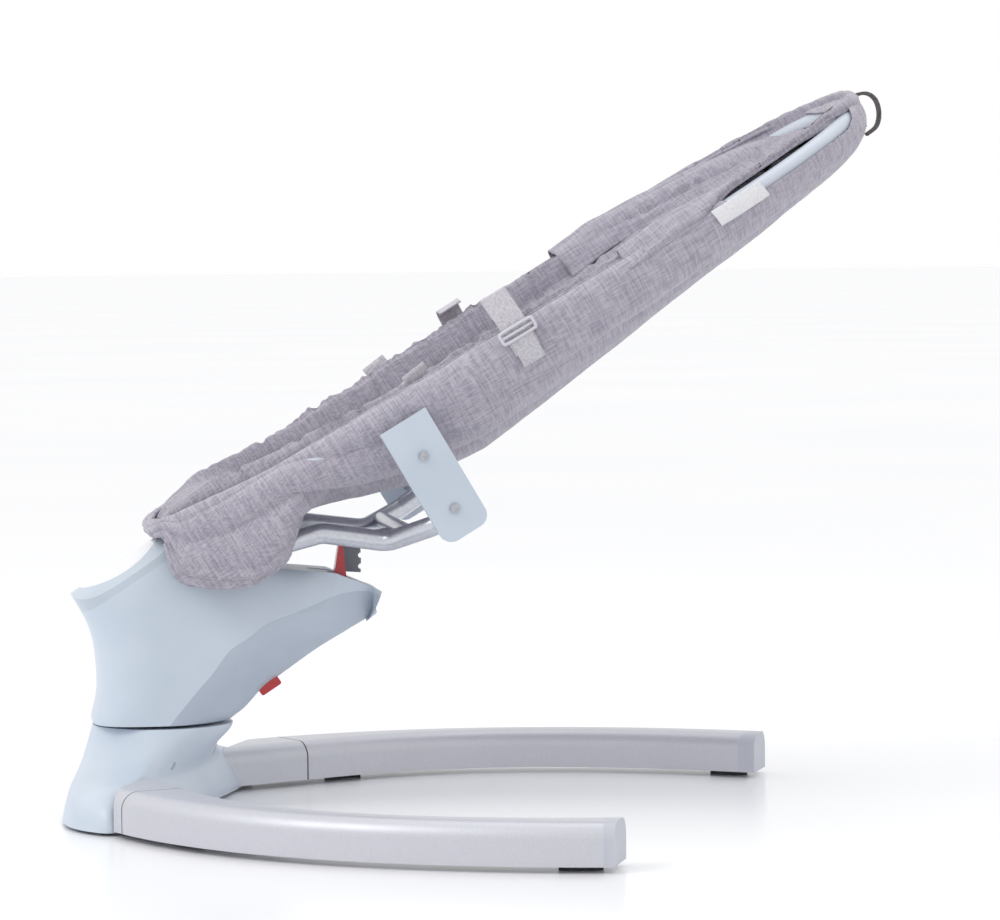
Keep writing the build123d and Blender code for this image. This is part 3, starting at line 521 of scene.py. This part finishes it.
def cover_side(side):
    grid = np.array([cover_row(i, 1.0) for i in range(ROWS)])
    grid[:, :, 1] *= side
    normals = grid_normals(grid) * side
    down = np.linspace(0, 1, COLUMNS)[None, :] ** 1.25
    s = grid[:, :, 0]
    seed = 3 if side < 0 else 8
    drift = wander(grid * (0.35, 1, 1), 90.0, seed)
    # long folds that gather at the foot
    count = 3.6
    phase = down * count + 0.55 * drift + 0.25 * np.sin(s / 95.0)
    crease = np.abs(np.sin(math.pi * phase)) ** 0.8
    strength = table(s, [(-20, 1.5), (20, 3.6), (110, 7.0), (260, 6.6), (420, 4.6), (560, 2.8), (800, 1.2)])
    strength = strength * ease(down, 0.05, 0.22) * (1 - 0.6 * ease(down, 0.75, 1.0))
    push = (crease - 0.62) * strength
    # small puckers by the elastic in the rim
    ripple = np.sin(rim_run[:, None] / 3.1 + 2.2 * drift)
    ripple_place = table(rim_s[:, None], [(-20, 0.4), (300, 0.15), (520, 0.3), (600, 0.9), (770, 1.0)])
    push += ripple * ripple_place * np.exp(-((down - 0.16) / 0.09) ** 2) * 0.8
    # a soft uneven surface
    push += 1.1 * wander(grid * (0.5, 1, 1), 34.0, seed + 1) + 0.35 * wander(grid, 12.0, seed + 2)
    push *= ease(down, 0.0, 0.04) * 0.85 + 0.15
    return grid + normals * push[:, :, None]


near_side, far_side = cover_side(-1), cover_side(1)
cover_points = np.vstack([near_side.reshape(-1, 3), far_side.reshape(-1, 3)])
near_faces = grid_faces(ROWS, COLUMNS)
far_faces = [tuple(reversed(f)) for f in grid_faces(ROWS, COLUMNS, start=ROWS * COLUMNS)]
cover = new_piece("seat_cover", placed(cover_points), near_faces + far_faces, linen_cover)


def weld(piece, distance_mm):
    """Joins points that meet and makes the normals agree."""
    shape = bmesh.new()
    shape.from_mesh(piece.data)
    bmesh.ops.remove_doubles(shape, verts=shape.verts, dist=distance_mm * MM)
    bmesh.ops.recalc_face_normals(shape, faces=shape.faces)
    shape.to_mesh(piece.data)
    shape.free()


def thicken(piece, thickness_mm, offset=0.0):
    """Gives a sheet its real thickness."""
    solid = piece.modifiers.new("Thickness", "SOLIDIFY")
    solid.thickness = thickness_mm * MM
    solid.offset = offset


weld(cover, 0.6)
thicken(cover, 1.4)
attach(cover, "seat")
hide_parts("sling_fabric")
print("cover points:", len(cover.data.vertices))

# %% [markdown]
# ## The padded insert
# The insert is a thin quilt with a thick roll, or bolster, along both sides. It is stuffed, so it is
# drawn slightly thin, remeshed to even cells and then blown up by a short cloth simulation with a
# little inner pressure. The move of each point is capped, so that the pad stays in its place.
# The sewn channels come after, because the remesh would erase them.

# %% Insert shape
CREST = [(-16, 45), (11, 55), (57, 64), (110, 63), (188, 60), (307, 58.5), (425, 59), (541, 55.5),
         (656, 50.5), (714, 45), (744, 37)]
PAD_BOTTOM = [(-16, 44.5), (40, 44.5), (56, 30), (75, 12), (100, -2), (146, -12), (215, -34), (290, -42),
              (400, -30), (500, -18), (600, -8), (690, 4), (720, 18), (744, 28)]
PAD_MIDDLE = [(-16, 47), (11, 54), (40, 52), (60, 44), (85, 24), (120, 8), (146, 4), (215, -17), (290, -26),
              (400, -14), (500, -2), (600, 8), (690, 20), (720, 30), (744, 36)]
PAD_EDGE = [(-16, 44.5), (62, 44.5), (90, 38), (800, 37)]
BOLSTER = 13.0


def pad_half(s):
    """Half the pad's width: just inside the rim."""
    inner = np.interp(s, rim_s[rim_run > 50], rim_y[rim_run > 50]) - 10.5
    return float(inner) if s > -4 else 52.0 + (s + 4) * 1.0


def pad_top(s, y, half):
    share = np.clip(np.abs(y) / max(half - 12.0, 1.0), 0, 1)
    middle, crest, edge = table(s, PAD_MIDDLE), table(s, CREST), table(s, PAD_EDGE)
    base = edge + 3
    hollow = base - (base - middle) * (1 - share ** 2.4) ** (1 / 2.4)
    roll = np.exp(-((np.abs(y) - (half - BOLSTER)) / BOLSTER) ** 2)
    return np.maximum(hollow, middle) + (crest - base) * roll


def pad_bottom(s, y, half):
    share = np.clip(np.abs(y) / half, 0, 1)
    edge, low = table(s, PAD_EDGE), table(s, PAD_BOTTOM)
    return edge - (edge - low) * (1 - share ** 2.2) ** (1 / 2.2)


pad_stations = np.concatenate([np.linspace(-15, 60, 16), np.linspace(66, 700, 90), np.linspace(706, 743, 10)])
PAD_ACROSS = 61
pad_points, pad_loop = [], 2 * PAD_ACROSS
for s in pad_stations:
    half = pad_half(s)
    across = half * np.sin(np.linspace(-math.pi / 2, math.pi / 2, PAD_ACROSS))
    top = pad_top(s, across, half)
    low = np.minimum(pad_bottom(s, across, half), top - 2.0)
    pad_points += [(s, y, d) for y, d in zip(across, top)]
    pad_points += [(s, y, d) for y, d in zip(across[::-1], low[::-1])]
pad_faces = grid_faces(len(pad_stations), pad_loop, close_columns=True)
pad_faces += [tuple(range(pad_loop)), tuple(len(pad_points) - pad_loop + j for j in range(pad_loop))[::-1]]
insert = new_piece("padded_insert", placed(pad_points), pad_faces, linen_insert)
weld(insert, 0.2)
print("insert before stuffing:", len(insert.data.vertices))

# %% Stuffing by cloth simulation
VOXEL = 0.0055
PUFF_CAP = 0.006


def seat_coordinates(piece):
    """A piece's points back in seat millimetres."""
    points = np.empty(len(piece.data.vertices) * 3)
    piece.data.vertices.foreach_get("co", points)
    inverse = np.linalg.inv(to_world)
    return points.reshape(-1, 3) @ inverse[:3, :3].T + inverse[:3, 3]


def set_points(piece, seat_points):
    piece.data.vertices.foreach_set("co", placed(seat_points).ravel())
    piece.data.update()


def applied(piece):
    """Bakes a piece's modifiers into its mesh."""
    seen = piece.evaluated_get(bpy.context.evaluated_depsgraph_get())
    mesh = bpy.data.meshes.new_from_object(seen)
    piece.modifiers.clear()
    piece.data = mesh


def remesh(piece, size):
    cells = piece.modifiers.new("Cells", "REMESH")
    cells.mode = "VOXEL"
    cells.voxel_size = size
    cells.use_smooth_shade = True
    applied(piece)


def stuff(piece, frames=20, pressure=4.0, cap=PUFF_CAP):
    """Blows a closed pad up with a cloth simulation and caps how far each point moves."""
    before = seat_coordinates(piece)
    cloth = piece.modifiers.new("Stuffing", "CLOTH")
    cloth.settings.use_pressure = True
    cloth.settings.uniform_pressure_force = pressure
    cloth.settings.effector_weights.gravity = 0.0
    cloth.point_cache.frame_start = 1
    cloth.point_cache.frame_end = frames
    for step in range(1, frames + 1):
        scene.frame_set(step)
    applied(piece)
    scene.frame_set(1)
    moved = seat_coordinates(piece) - before
    reach = np.linalg.norm(moved, axis=1, keepdims=True)
    limit = cap / MM
    set_points(piece, before + moved * np.minimum(1.0, limit / np.maximum(reach, 1e-9)))


remesh(insert, VOXEL)
print("insert cells:", len(insert.data.vertices))
stuff(insert)
for face in insert.data.polygons:
    face.use_smooth = True

# %% [markdown]
# The pad must not sink into the tube of the ring, so points that came too near are pushed out. Then
# the channels are pressed in: one seam along the foot of each bolster, and cross seams every 62 mm.
# The cloth puckers beside each seam.

# %% Clear the ring and press the channels
ring_path = []
for t in np.linspace(math.pi, foot_angle, 60):
    ring_path.append((foot_middle + FOOT_RADIUS * math.cos(t), FOOT_RADIUS * math.sin(t)))
for s in np.linspace(ring_path[-1][0], head_middle + HEAD_RADIUS * math.cos(head_angle), 160)[1:]:
    ring_path.append((s, ring_half(s)))
for t in np.linspace(head_angle, 0, 60)[1:]:
    ring_path.append((head_middle + HEAD_RADIUS * math.cos(t), HEAD_RADIUS * math.sin(t)))
ring_path = np.array(ring_path)


def clear_of_ring(points, clearance):
    """Pushes points out of the ring's tube."""
    mirrored_points = np.column_stack([points[:, 0], np.abs(points[:, 1])])
    out = points.copy()
    near = np.where(np.abs(points[:, 2] - RING_LEVEL) < clearance + 2)[0]
    for i in near:
        gaps = ring_path - mirrored_points[i]
        best = np.argmin((gaps ** 2).sum(axis=1))
        offset = np.array([-gaps[best, 0], -gaps[best, 1], points[i, 2] - RING_LEVEL])
        offset[1] *= math.copysign(1, points[i, 1])
        length = np.linalg.norm(offset)
        if 1e-6 < length < clearance:
            out[i] = points[i] + offset * (clearance / length - 1)
    return out


def vertex_normals(piece):
    normals = np.empty(len(piece.data.vertices) * 3)
    piece.data.vertices.foreach_get("normal", normals)
    back = np.linalg.inv(to_world[:3, :3])
    normals = normals.reshape(-1, 3) @ back.T
    return normals / np.maximum(np.linalg.norm(normals, axis=1, keepdims=True), 1e-9)


def groove(distance, width, depth):
    """A sewn channel: a narrow press with a soft rise on both sides."""
    return (-depth * np.exp(-(distance / width) ** 2)
            + 0.35 * depth * np.exp(-((np.abs(distance) - 2.4 * width) / (1.4 * width)) ** 2))


CHANNEL_PITCH = 62.0
smoother = insert.modifiers.new("Finer", "SUBSURF")
smoother.levels = 1
smoother.render_levels = 1
applied(insert)
pad = clear_of_ring(seat_coordinates(insert), RING_TUBE + 1.2)
set_points(insert, pad)
normals = vertex_normals(insert)
half_at = np.interp(pad[:, 0], rim_s[rim_run > 50], rim_y[rim_run > 50]) - 10.5
upper = (normals[:, 2] > 0.1) | (np.abs(pad[:, 1]) > half_at - 9)
cross = (pad[:, 0] + 9 * np.sin(pad[:, 1] / 60.0) + 20) % CHANNEL_PITCH - CHANNEL_PITCH / 2
lengthwise = np.abs(pad[:, 1]) - (half_at - 2.4 * BOLSTER)
press = groove(cross, 3.4, 2.4) * ease(pad[:, 0], 40, 90) * (1 - ease(pad[:, 0], 700, 730))
press += groove(lengthwise, 3.4, 2.6) * ease(pad[:, 0], 70, 120) * (1 - ease(pad[:, 0], 660, 710))
press += 1.5 * wander(pad * (0.5, 1, 1), 38.0, 21) + 0.5 * wander(pad, 13.0, 22)
pad = pad + normals * (press * upper)[:, None]
set_points(insert, clear_of_ring(pad, RING_TUBE + 1.0))
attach(insert, "seat")
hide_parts("seat_insert")
print("insert points:", len(insert.data.vertices))

# %% [markdown]
# ## The head pocket
# At the head end the insert is held by a pocket that slips over the ring. Its outer lip is a rolled
# hem. Between that lip and the cover below it, the cloth gapes and shows a length of the pale ring.

# %% Head pocket
POCKET_START = 470.0
POCKET_COLUMNS = 40
# how far the pocket's cloth stands over the pad's crest
POCKET_RISE = [(470, 0.5), (520, 0.0), (620, -3.0), (700, -3.0), (744, -8.0), (772, -12.0)]


def pocket_side(side):
    rows = [i for i in range(ROWS) if rim_s[i] > POCKET_START and rim_run[i] > 300]
    grid = []
    for i in rows:
        s, y, out = rim_s[i], rim_y[i], rim_out[i]
        crest = table(s, CREST) + table(s, POCKET_RISE)
        open_eye = float(hump(s, EYE_LOW + 48, EYE_HIGH - 20, 50))
        tip = float(ease(s, 715, 762))
        grow = float(ease(s, POCKET_START, POCKET_START + 60))
        profile = [(10.5 - 13.5 * open_eye, 38 + 9.5 * open_eye), (12.6 - 13.6 * open_eye, 43 + 7 * open_eye),
                   (6 - 7 * open_eye, 48 + 4 * open_eye + 2 * tip), (-4, crest - 1 + 2 * tip),
                   (-14, crest + 0.5), (-26, crest - 4), (-38, crest - 16), (-44, crest - 30)]
        profile = [(o, 33 + (d - 33) * (0.25 + 0.75 * grow)) if k < 3 else (o, d - 6 * (1 - grow))
                   for k, (o, d) in enumerate(profile)]
        fine = curve_through(profile, POCKET_COLUMNS)
        grid.append([(s + out[0] * o, side * (y + out[1] * o), d) for o, d in fine])
    grid = np.array(grid)
    grid[:, :, 1] = np.where(side * grid[:, :, 1] < 0, 0, grid[:, :, 1])
    normal = grid_normals(grid) * side
    drift = wander(grid * (0.4, 1, 1), 60.0, 31 + side)
    along = np.arange(len(rows))[:, None] / len(rows)
    down = np.linspace(0, 1, POCKET_COLUMNS)[None, :]
    lines = np.abs(np.sin(math.pi * (down * 3.1 + along * 1.3 + 0.6 * drift))) ** 0.8
    push = (lines - 0.6) * 2.4 * ease(down, 0.10, 0.3)
    push += 0.8 * wander(grid, 22.0, 35)
    return grid - normal * push[:, :, None]


near_pocket, far_pocket = pocket_side(-1), pocket_side(1)
pocket_points = np.vstack([near_pocket.reshape(-1, 3), far_pocket.reshape(-1, 3)])
count = near_pocket.shape[0] * near_pocket.shape[1]
pocket_faces = grid_faces(*near_pocket.shape[:2])
pocket_faces += [tuple(reversed(f)) for f in grid_faces(*far_pocket.shape[:2], start=count)]
pocket = new_piece("head_pocket", placed(pocket_points), pocket_faces, linen_panel)
weld(pocket, 0.8)
thicken(pocket, 1.8)
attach(pocket, "seat")
print("pocket points:", len(pocket.data.vertices))

# %% [markdown]
# ## Seams and piping
# A sewn edge is a bias tape folded over a cord: a round welt 3 mm thick. One runs round the rim, a
# second follows the sac's hem by the hinge, and a third closes the pocket's lip. Each is a small
# round outline swept along points of the cloth that it edges.

# %% Piping
PIPING_RADIUS = 1.6


def welt(name, path, radius=PIPING_RADIUS, material=piping_cloth):
    """A round welt along a path in seat millimetres."""
    path = np.asarray(path)
    fine = curve_through(path, max(int(len(path) * 1.5), 20))
    points, faces = sweep(fine, round_outline(radius), (0, 0, 1))
    piece = new_piece(name, placed(points), faces, material)
    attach(piece, "seat")
    return piece


HEM_COLUMN = 5
for side, grid, name in ((-1, near_side, "right"), (1, far_side, "left")):
    rows = [i for i in range(4, ROWS) if rim_s[i] < EYE_LOW - 6]
    rim_line = grid[rows, HEM_COLUMN] + (0, 0, PIPING_RADIUS * 0.8)
    welt(f"rim_welt_{name}", rim_line[::3], material=linen_panel)
    hem_rows = [i for i in range(ROWS) if 66 < rim_run[i] < 215]
    welt(f"sac_welt_{name}", grid[hem_rows, -1][::2], radius=1.9, material=linen_cover)
    inner_hem = grid[hem_rows, -9][::2] + (0, side * 0.8, 0)
    welt(f"sac_seam_{name}", inner_hem, radius=1.1, material=linen_panel)
for side, grid, name in ((-1, near_pocket, "right"), (1, far_pocket, "left")):
    welt(f"pocket_lip_{name}", grid[6:-2:3, 0], radius=2.1, material=linen_panel)

# %% [markdown]
# ## Webbing, sliders, tag and loop
# The waist strap climbs over the rim on both sides. It is 25 mm polyester webbing, folded back on
# itself at the top and stitched across, with a moulded slider below. Webbing is too flat for a
# remesh, so it is swept directly: a thin outline with a slightly thicker selvedge.

# %% Side straps
STRAP_S = 357.0
WEB_WIDTH = 25.0
strap_out = ring_half(STRAP_S) + RING_TUBE + 3.2
slope = math.atan2(ring_half(STRAP_S + 6) - ring_half(STRAP_S - 6), 12)


def ribbon_outline(width, thickness):
    """A flat tape with rounded, slightly thicker edges."""
    half, edge = width / 2, thickness * 0.62
    return [(-edge, -half + 0.6), (-edge * 0.6, -half), (edge * 0.6, -half), (edge, -half + 0.6),
            (thickness / 2, -half + 2.4), (thickness / 2, half - 2.4),
            (edge, half - 0.6), (edge * 0.6, half), (-edge * 0.6, half), (-edge, half - 0.6),
            (-thickness / 2, half - 2.4), (-thickness / 2, -half + 2.4)]


def strap_piece(name, line, side, width=WEB_WIDTH, thickness=1.5, replaces=()):
    fine = curve_through([(0.0, y, d) for y, d in line], 60)
    points, faces = sweep(fine, ribbon_outline(width, thickness), (1, 0, 0))
    points[:, 1] += points[:, 0] * math.tan(slope)
    points[:, 0] += STRAP_S
    points[:, 1] *= side
    piece = new_piece(name, placed(points), faces, webbing)
    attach(piece, "seat")
    if replaces:
        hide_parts(*replaces)
    return piece


for side, name in ((-1, "right"), (1, "left")):
    o = strap_out
    climb = [(o + 1.6, 20), (o + 2.0, 32), (o + 1.4, 44), (o - 3, 58), (o - 9, 70), (o - 12.5, 77.5),
             (o - 15.5, 78.5), (o - 16.5, 75), (o - 14.6, 66), (o - 12, 58)]
    if side > 0:
        climb = climb[:3] + [(o - 3, 55), (o - 11, 61), (o - 19, 62.5), (o - 27, 62), (o - 34, 60)]
    strap_piece(f"side_strap_{name}", climb, side, replaces=("side_straps",) if side < 0 else ())
    tail = [(o + 3.6, 36), (o + 3.8, 26), (o + 3.0, 16), (o + 0.5, 8)]
    strap_piece(f"strap_tail_{name}", tail, side, width=22.0)

# %% [markdown]
# The slider is a moulded frame with a bar across its middle. It is built from one rounded bar,
# swept round a rectangle, and a second bar for the middle.

# %% Sliders


def slider(name, side, level):
    half_s, half_d = WEB_WIDTH / 2 + 3.4, 5.2
    corner = [(-half_s, -half_d), (0, -half_d - 0.3), (half_s, -half_d), (half_s + 0.6, 0), (half_s, half_d),
              (0, half_d + 0.3), (-half_s, half_d), (-half_s - 0.6, 0)]
    loop = np.array([(x, 0.0, z) for x, z in corner])
    fine = []
    for k in range(len(loop)):
        p0, p1, p2, p3 = (loop[(k + n - 1) % len(loop)] for n in range(4))
        for t in np.linspace(0, 1, 8, endpoint=False):
            fine.append(p1 + (p2 - p1) * t + (p2 - p0 - (p3 - p1)) * t * (1 - t) * 0.10)
    frame_points, frame_faces = sweep(fine, round_outline(1.5, 8), (0, 1, 0), closed=True)
    bar_line = [(-half_s, 0, 0), (0, 0, 0), (half_s, 0, 0)]
    bar_points, bar_faces = sweep(bar_line, round_outline(1.4, 8), (0, 0, 1))
    points = np.vstack([frame_points, bar_points])
    faces = frame_faces + [tuple(i + len(frame_points) for i in f) for f in bar_faces]
    points[:, 1] += points[:, 0] * math.tan(slope) + strap_out + 5.2
    points[:, 0] += STRAP_S
    points[:, 1] *= side
    points[:, 2] += level
    piece = new_piece(name, placed(points), faces, slider_plastic)
    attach(piece, "seat")
    return piece


SLIDER_LEVEL = 40.0
right_slider = slider("slider_right", -1, SLIDER_LEVEL)
slider("slider_left", 1, SLIDER_LEVEL)
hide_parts("strap_sliders")

# %% [markdown]
# The tag is a folded satin ribbon sewn into the lower lip of the cover's opening, left blank. The
# loop at the head is a stiff tape that comes out of the seam on both sides and meets in a knot.

# %% Tag and loop
TAG_S = 588.0
tag_grid = []
TAG_ROWS, TAG_COLUMNS = 14, 24
for i in range(TAG_ROWS):
    drop = i / (TAG_ROWS - 1)
    row = []
    for j in range(TAG_COLUMNS):
        s = TAG_S - 27 + 54 * j / (TAG_COLUMNS - 1)
        y = ring_half(s) + RING_TUBE + 4.6 + 1.2 * math.sin(3.1 * drop) + 0.5 * math.sin(s / 9.0)
        row.append((s + 2.0 * drop, -y, RING_LEVEL + 7.5 - 16.5 * drop))
    tag_grid.append(row)
tag_points = placed(np.array(tag_grid).reshape(-1, 3))
tag = new_piece("blank_tag", tag_points, grid_faces(TAG_ROWS, TAG_COLUMNS), satin_tag)
thicken(tag, 0.8)
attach(tag, "seat")
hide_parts("sewn_tag")

loop_middle = HEAD_S + RING_TUBE + 10.0
loop_line = [(HEAD_S - 34, 0, 38), (HEAD_S - 14, 0, 41), (HEAD_S + 8, 0, 42), (loop_middle + 6, 0, 38),
             (loop_middle + 12, 0, 28), (loop_middle + 9, 0, 15), (loop_middle + 0, 0, 5), (HEAD_S + 6, 0, 3)]
tape, tape_faces = sweep(curve_through(loop_line, 70), ribbon_outline(9.0, 2.6), (0, 1, 0))
loop = new_piece("carry_loop_tape", placed(tape), tape_faces, loop_tape)
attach(loop, "seat")
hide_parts("carry_loop")
branch_line = [(HEAD_S + 3, 0, 41), (HEAD_S + 11, 0, 34), (HEAD_S + 12, 0, 22), (HEAD_S + 9, 0, 10)]
branch, branch_faces = sweep(curve_through(branch_line, 30), ribbon_outline(8.0, 2.2), (0, 1, 0))
branch = new_piece("carry_loop_branch", placed(branch), branch_faces, loop_tape)
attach(branch, "seat")

# %% [markdown]
# ## The harness in the hollow
# A crotch strap and two waist straps meet in a moulded buckle. They lie deep in the seat, so they
# matter only from above.

# %% Harness
harness_straps = {
    "waist_strap_right": ([(264, -16, 6), (265, -60, 2), (266, -100, 8), (266, -128, 22), (264, -146, 40),
                           (262, -152, 56)], (1, 0, 0), ("harness_waist_straps",)),
    "waist_strap_left": ([(264, 16, 6), (265, 60, 2), (266, 100, 8), (266, 128, 22), (264, 146, 40),
                          (262, 152, 56)], (1, 0, 0), ()),
    "crotch_strap": ([(214, 0, -20), (228, 0, -14), (240, 0, 0), (252, 0, 6)], (0, 1, 0),
                     ("harness_crotch_strap",)),
}
for name, (line, up, replaced) in harness_straps.items():
    width = WEB_WIDTH + (5 if "crotch" in name else 0)
    points, faces = sweep(curve_through(line, 50), ribbon_outline(width, 1.8), up)
    strap = new_piece(name, placed(points), faces, webbing)
    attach(strap, "seat")
    if replaced:
        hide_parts(*replaced)
buckle_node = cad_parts["harness_buckle"]
buckle_node.data.materials.clear()
buckle_node.data.materials.append(buckle_plastic)
print("harness pieces:", len(harness_straps))

# %% [markdown]
# ## Floor, light and camera
# A white studio: a pale, slightly glossy floor, a bright even surround and two large soft lamps.
# The key comes from the upper left, so the folds and the tower's edges read.

# %% Floor
floor_material, floor_tree, floor_shader = new_material("pale_studio_floor", {
    "IOR": 1.45, "Roughness": 0.22, "Specular IOR Level": 0.35})
floor_place = add(floor_tree, "ShaderNodeTexCoord").outputs["Object"]
floor_clouds = add(floor_tree, "ShaderNodeTexNoise", {"Scale": 0.7, "Detail": 2.0}, {"Vector": floor_place})
floor_tree.links.new(two_tones(floor_tree, floor_clouds.outputs["Fac"], "#f4f5f8", "#f8f8fa"),
                     floor_shader.inputs["Base Color"])
FLOOR_RADIUS = 150.0
floor_ring = [(FLOOR_RADIUS * math.cos(a), FLOOR_RADIUS * math.sin(a), 0.0)
              for a in np.linspace(0, 2 * math.pi, 96, endpoint=False)]
floor_mesh = bpy.data.meshes.new("studio_floor")
floor_mesh.from_pydata(floor_ring, [], [tuple(range(96))])
floor_mesh.materials.append(floor_material)
floor = bpy.data.objects.new("studio_floor", floor_mesh)
scene.collection.objects.link(floor)

# %% Light
world = bpy.data.worlds.new("white_studio")
world.use_nodes = True
background = world.node_tree.nodes["Background"]
background.inputs["Color"].default_value = (1.0, 1.0, 1.0, 1.0)
background.inputs["Strength"].default_value = 1.0
scene.world = world
scene.view_settings.view_transform = "Standard"


def softbox(name, place, target, size, watts, colour=(1.0, 1.0, 1.0)):
    lamp = bpy.data.lights.new(name, "AREA")
    lamp.shape = "RECTANGLE"
    lamp.size, lamp.size_y = size
    lamp.energy = watts
    lamp.color = colour
    holder = bpy.data.objects.new(name, lamp)
    holder.location = place
    holder.rotation_euler = (Vector(target) - Vector(place)).to_track_quat("-Z", "Y").to_euler()
    scene.collection.objects.link(holder)
    return holder


softbox("key_softbox", (-1.6, -1.8, 2.4), (0.1, 0.0, 0.3), (1.4, 1.4), 26)
softbox("top_softbox", (0.4, 0.6, 2.8), (0.2, 0.0, 0.2), (2.2, 1.6), 10)

# %% Camera
CAMERA_PLACE = Vector((1.2587, -3.7431, 0.5133))
CAMERA_YAW, CAMERA_PITCH, CAMERA_ROLL = (math.radians(a) for a in (13.94, 2.76, -0.60))
LENS_MM = 151.2
ahead = Vector((-math.sin(CAMERA_YAW) * math.cos(CAMERA_PITCH), math.cos(CAMERA_YAW) * math.cos(CAMERA_PITCH),
                -math.sin(CAMERA_PITCH)))
level_right = Vector((math.cos(CAMERA_YAW), math.sin(CAMERA_YAW), 0))
level_up = level_right.cross(ahead)
right = level_right * math.cos(CAMERA_ROLL) + level_up * math.sin(CAMERA_ROLL)
up = -level_right * math.sin(CAMERA_ROLL) + level_up * math.cos(CAMERA_ROLL)
camera_data = bpy.data.cameras.new("studio_camera")
camera_data.sensor_width = 36.0
camera_data.lens = LENS_MM
camera_data.clip_end = 500.0
camera = bpy.data.objects.new("studio_camera", camera_data)
camera.matrix_world = Matrix.Translation(CAMERA_PLACE) @ Matrix((right, up, -ahead)).transposed().to_4x4()
scene.collection.objects.link(camera)
scene.camera = camera
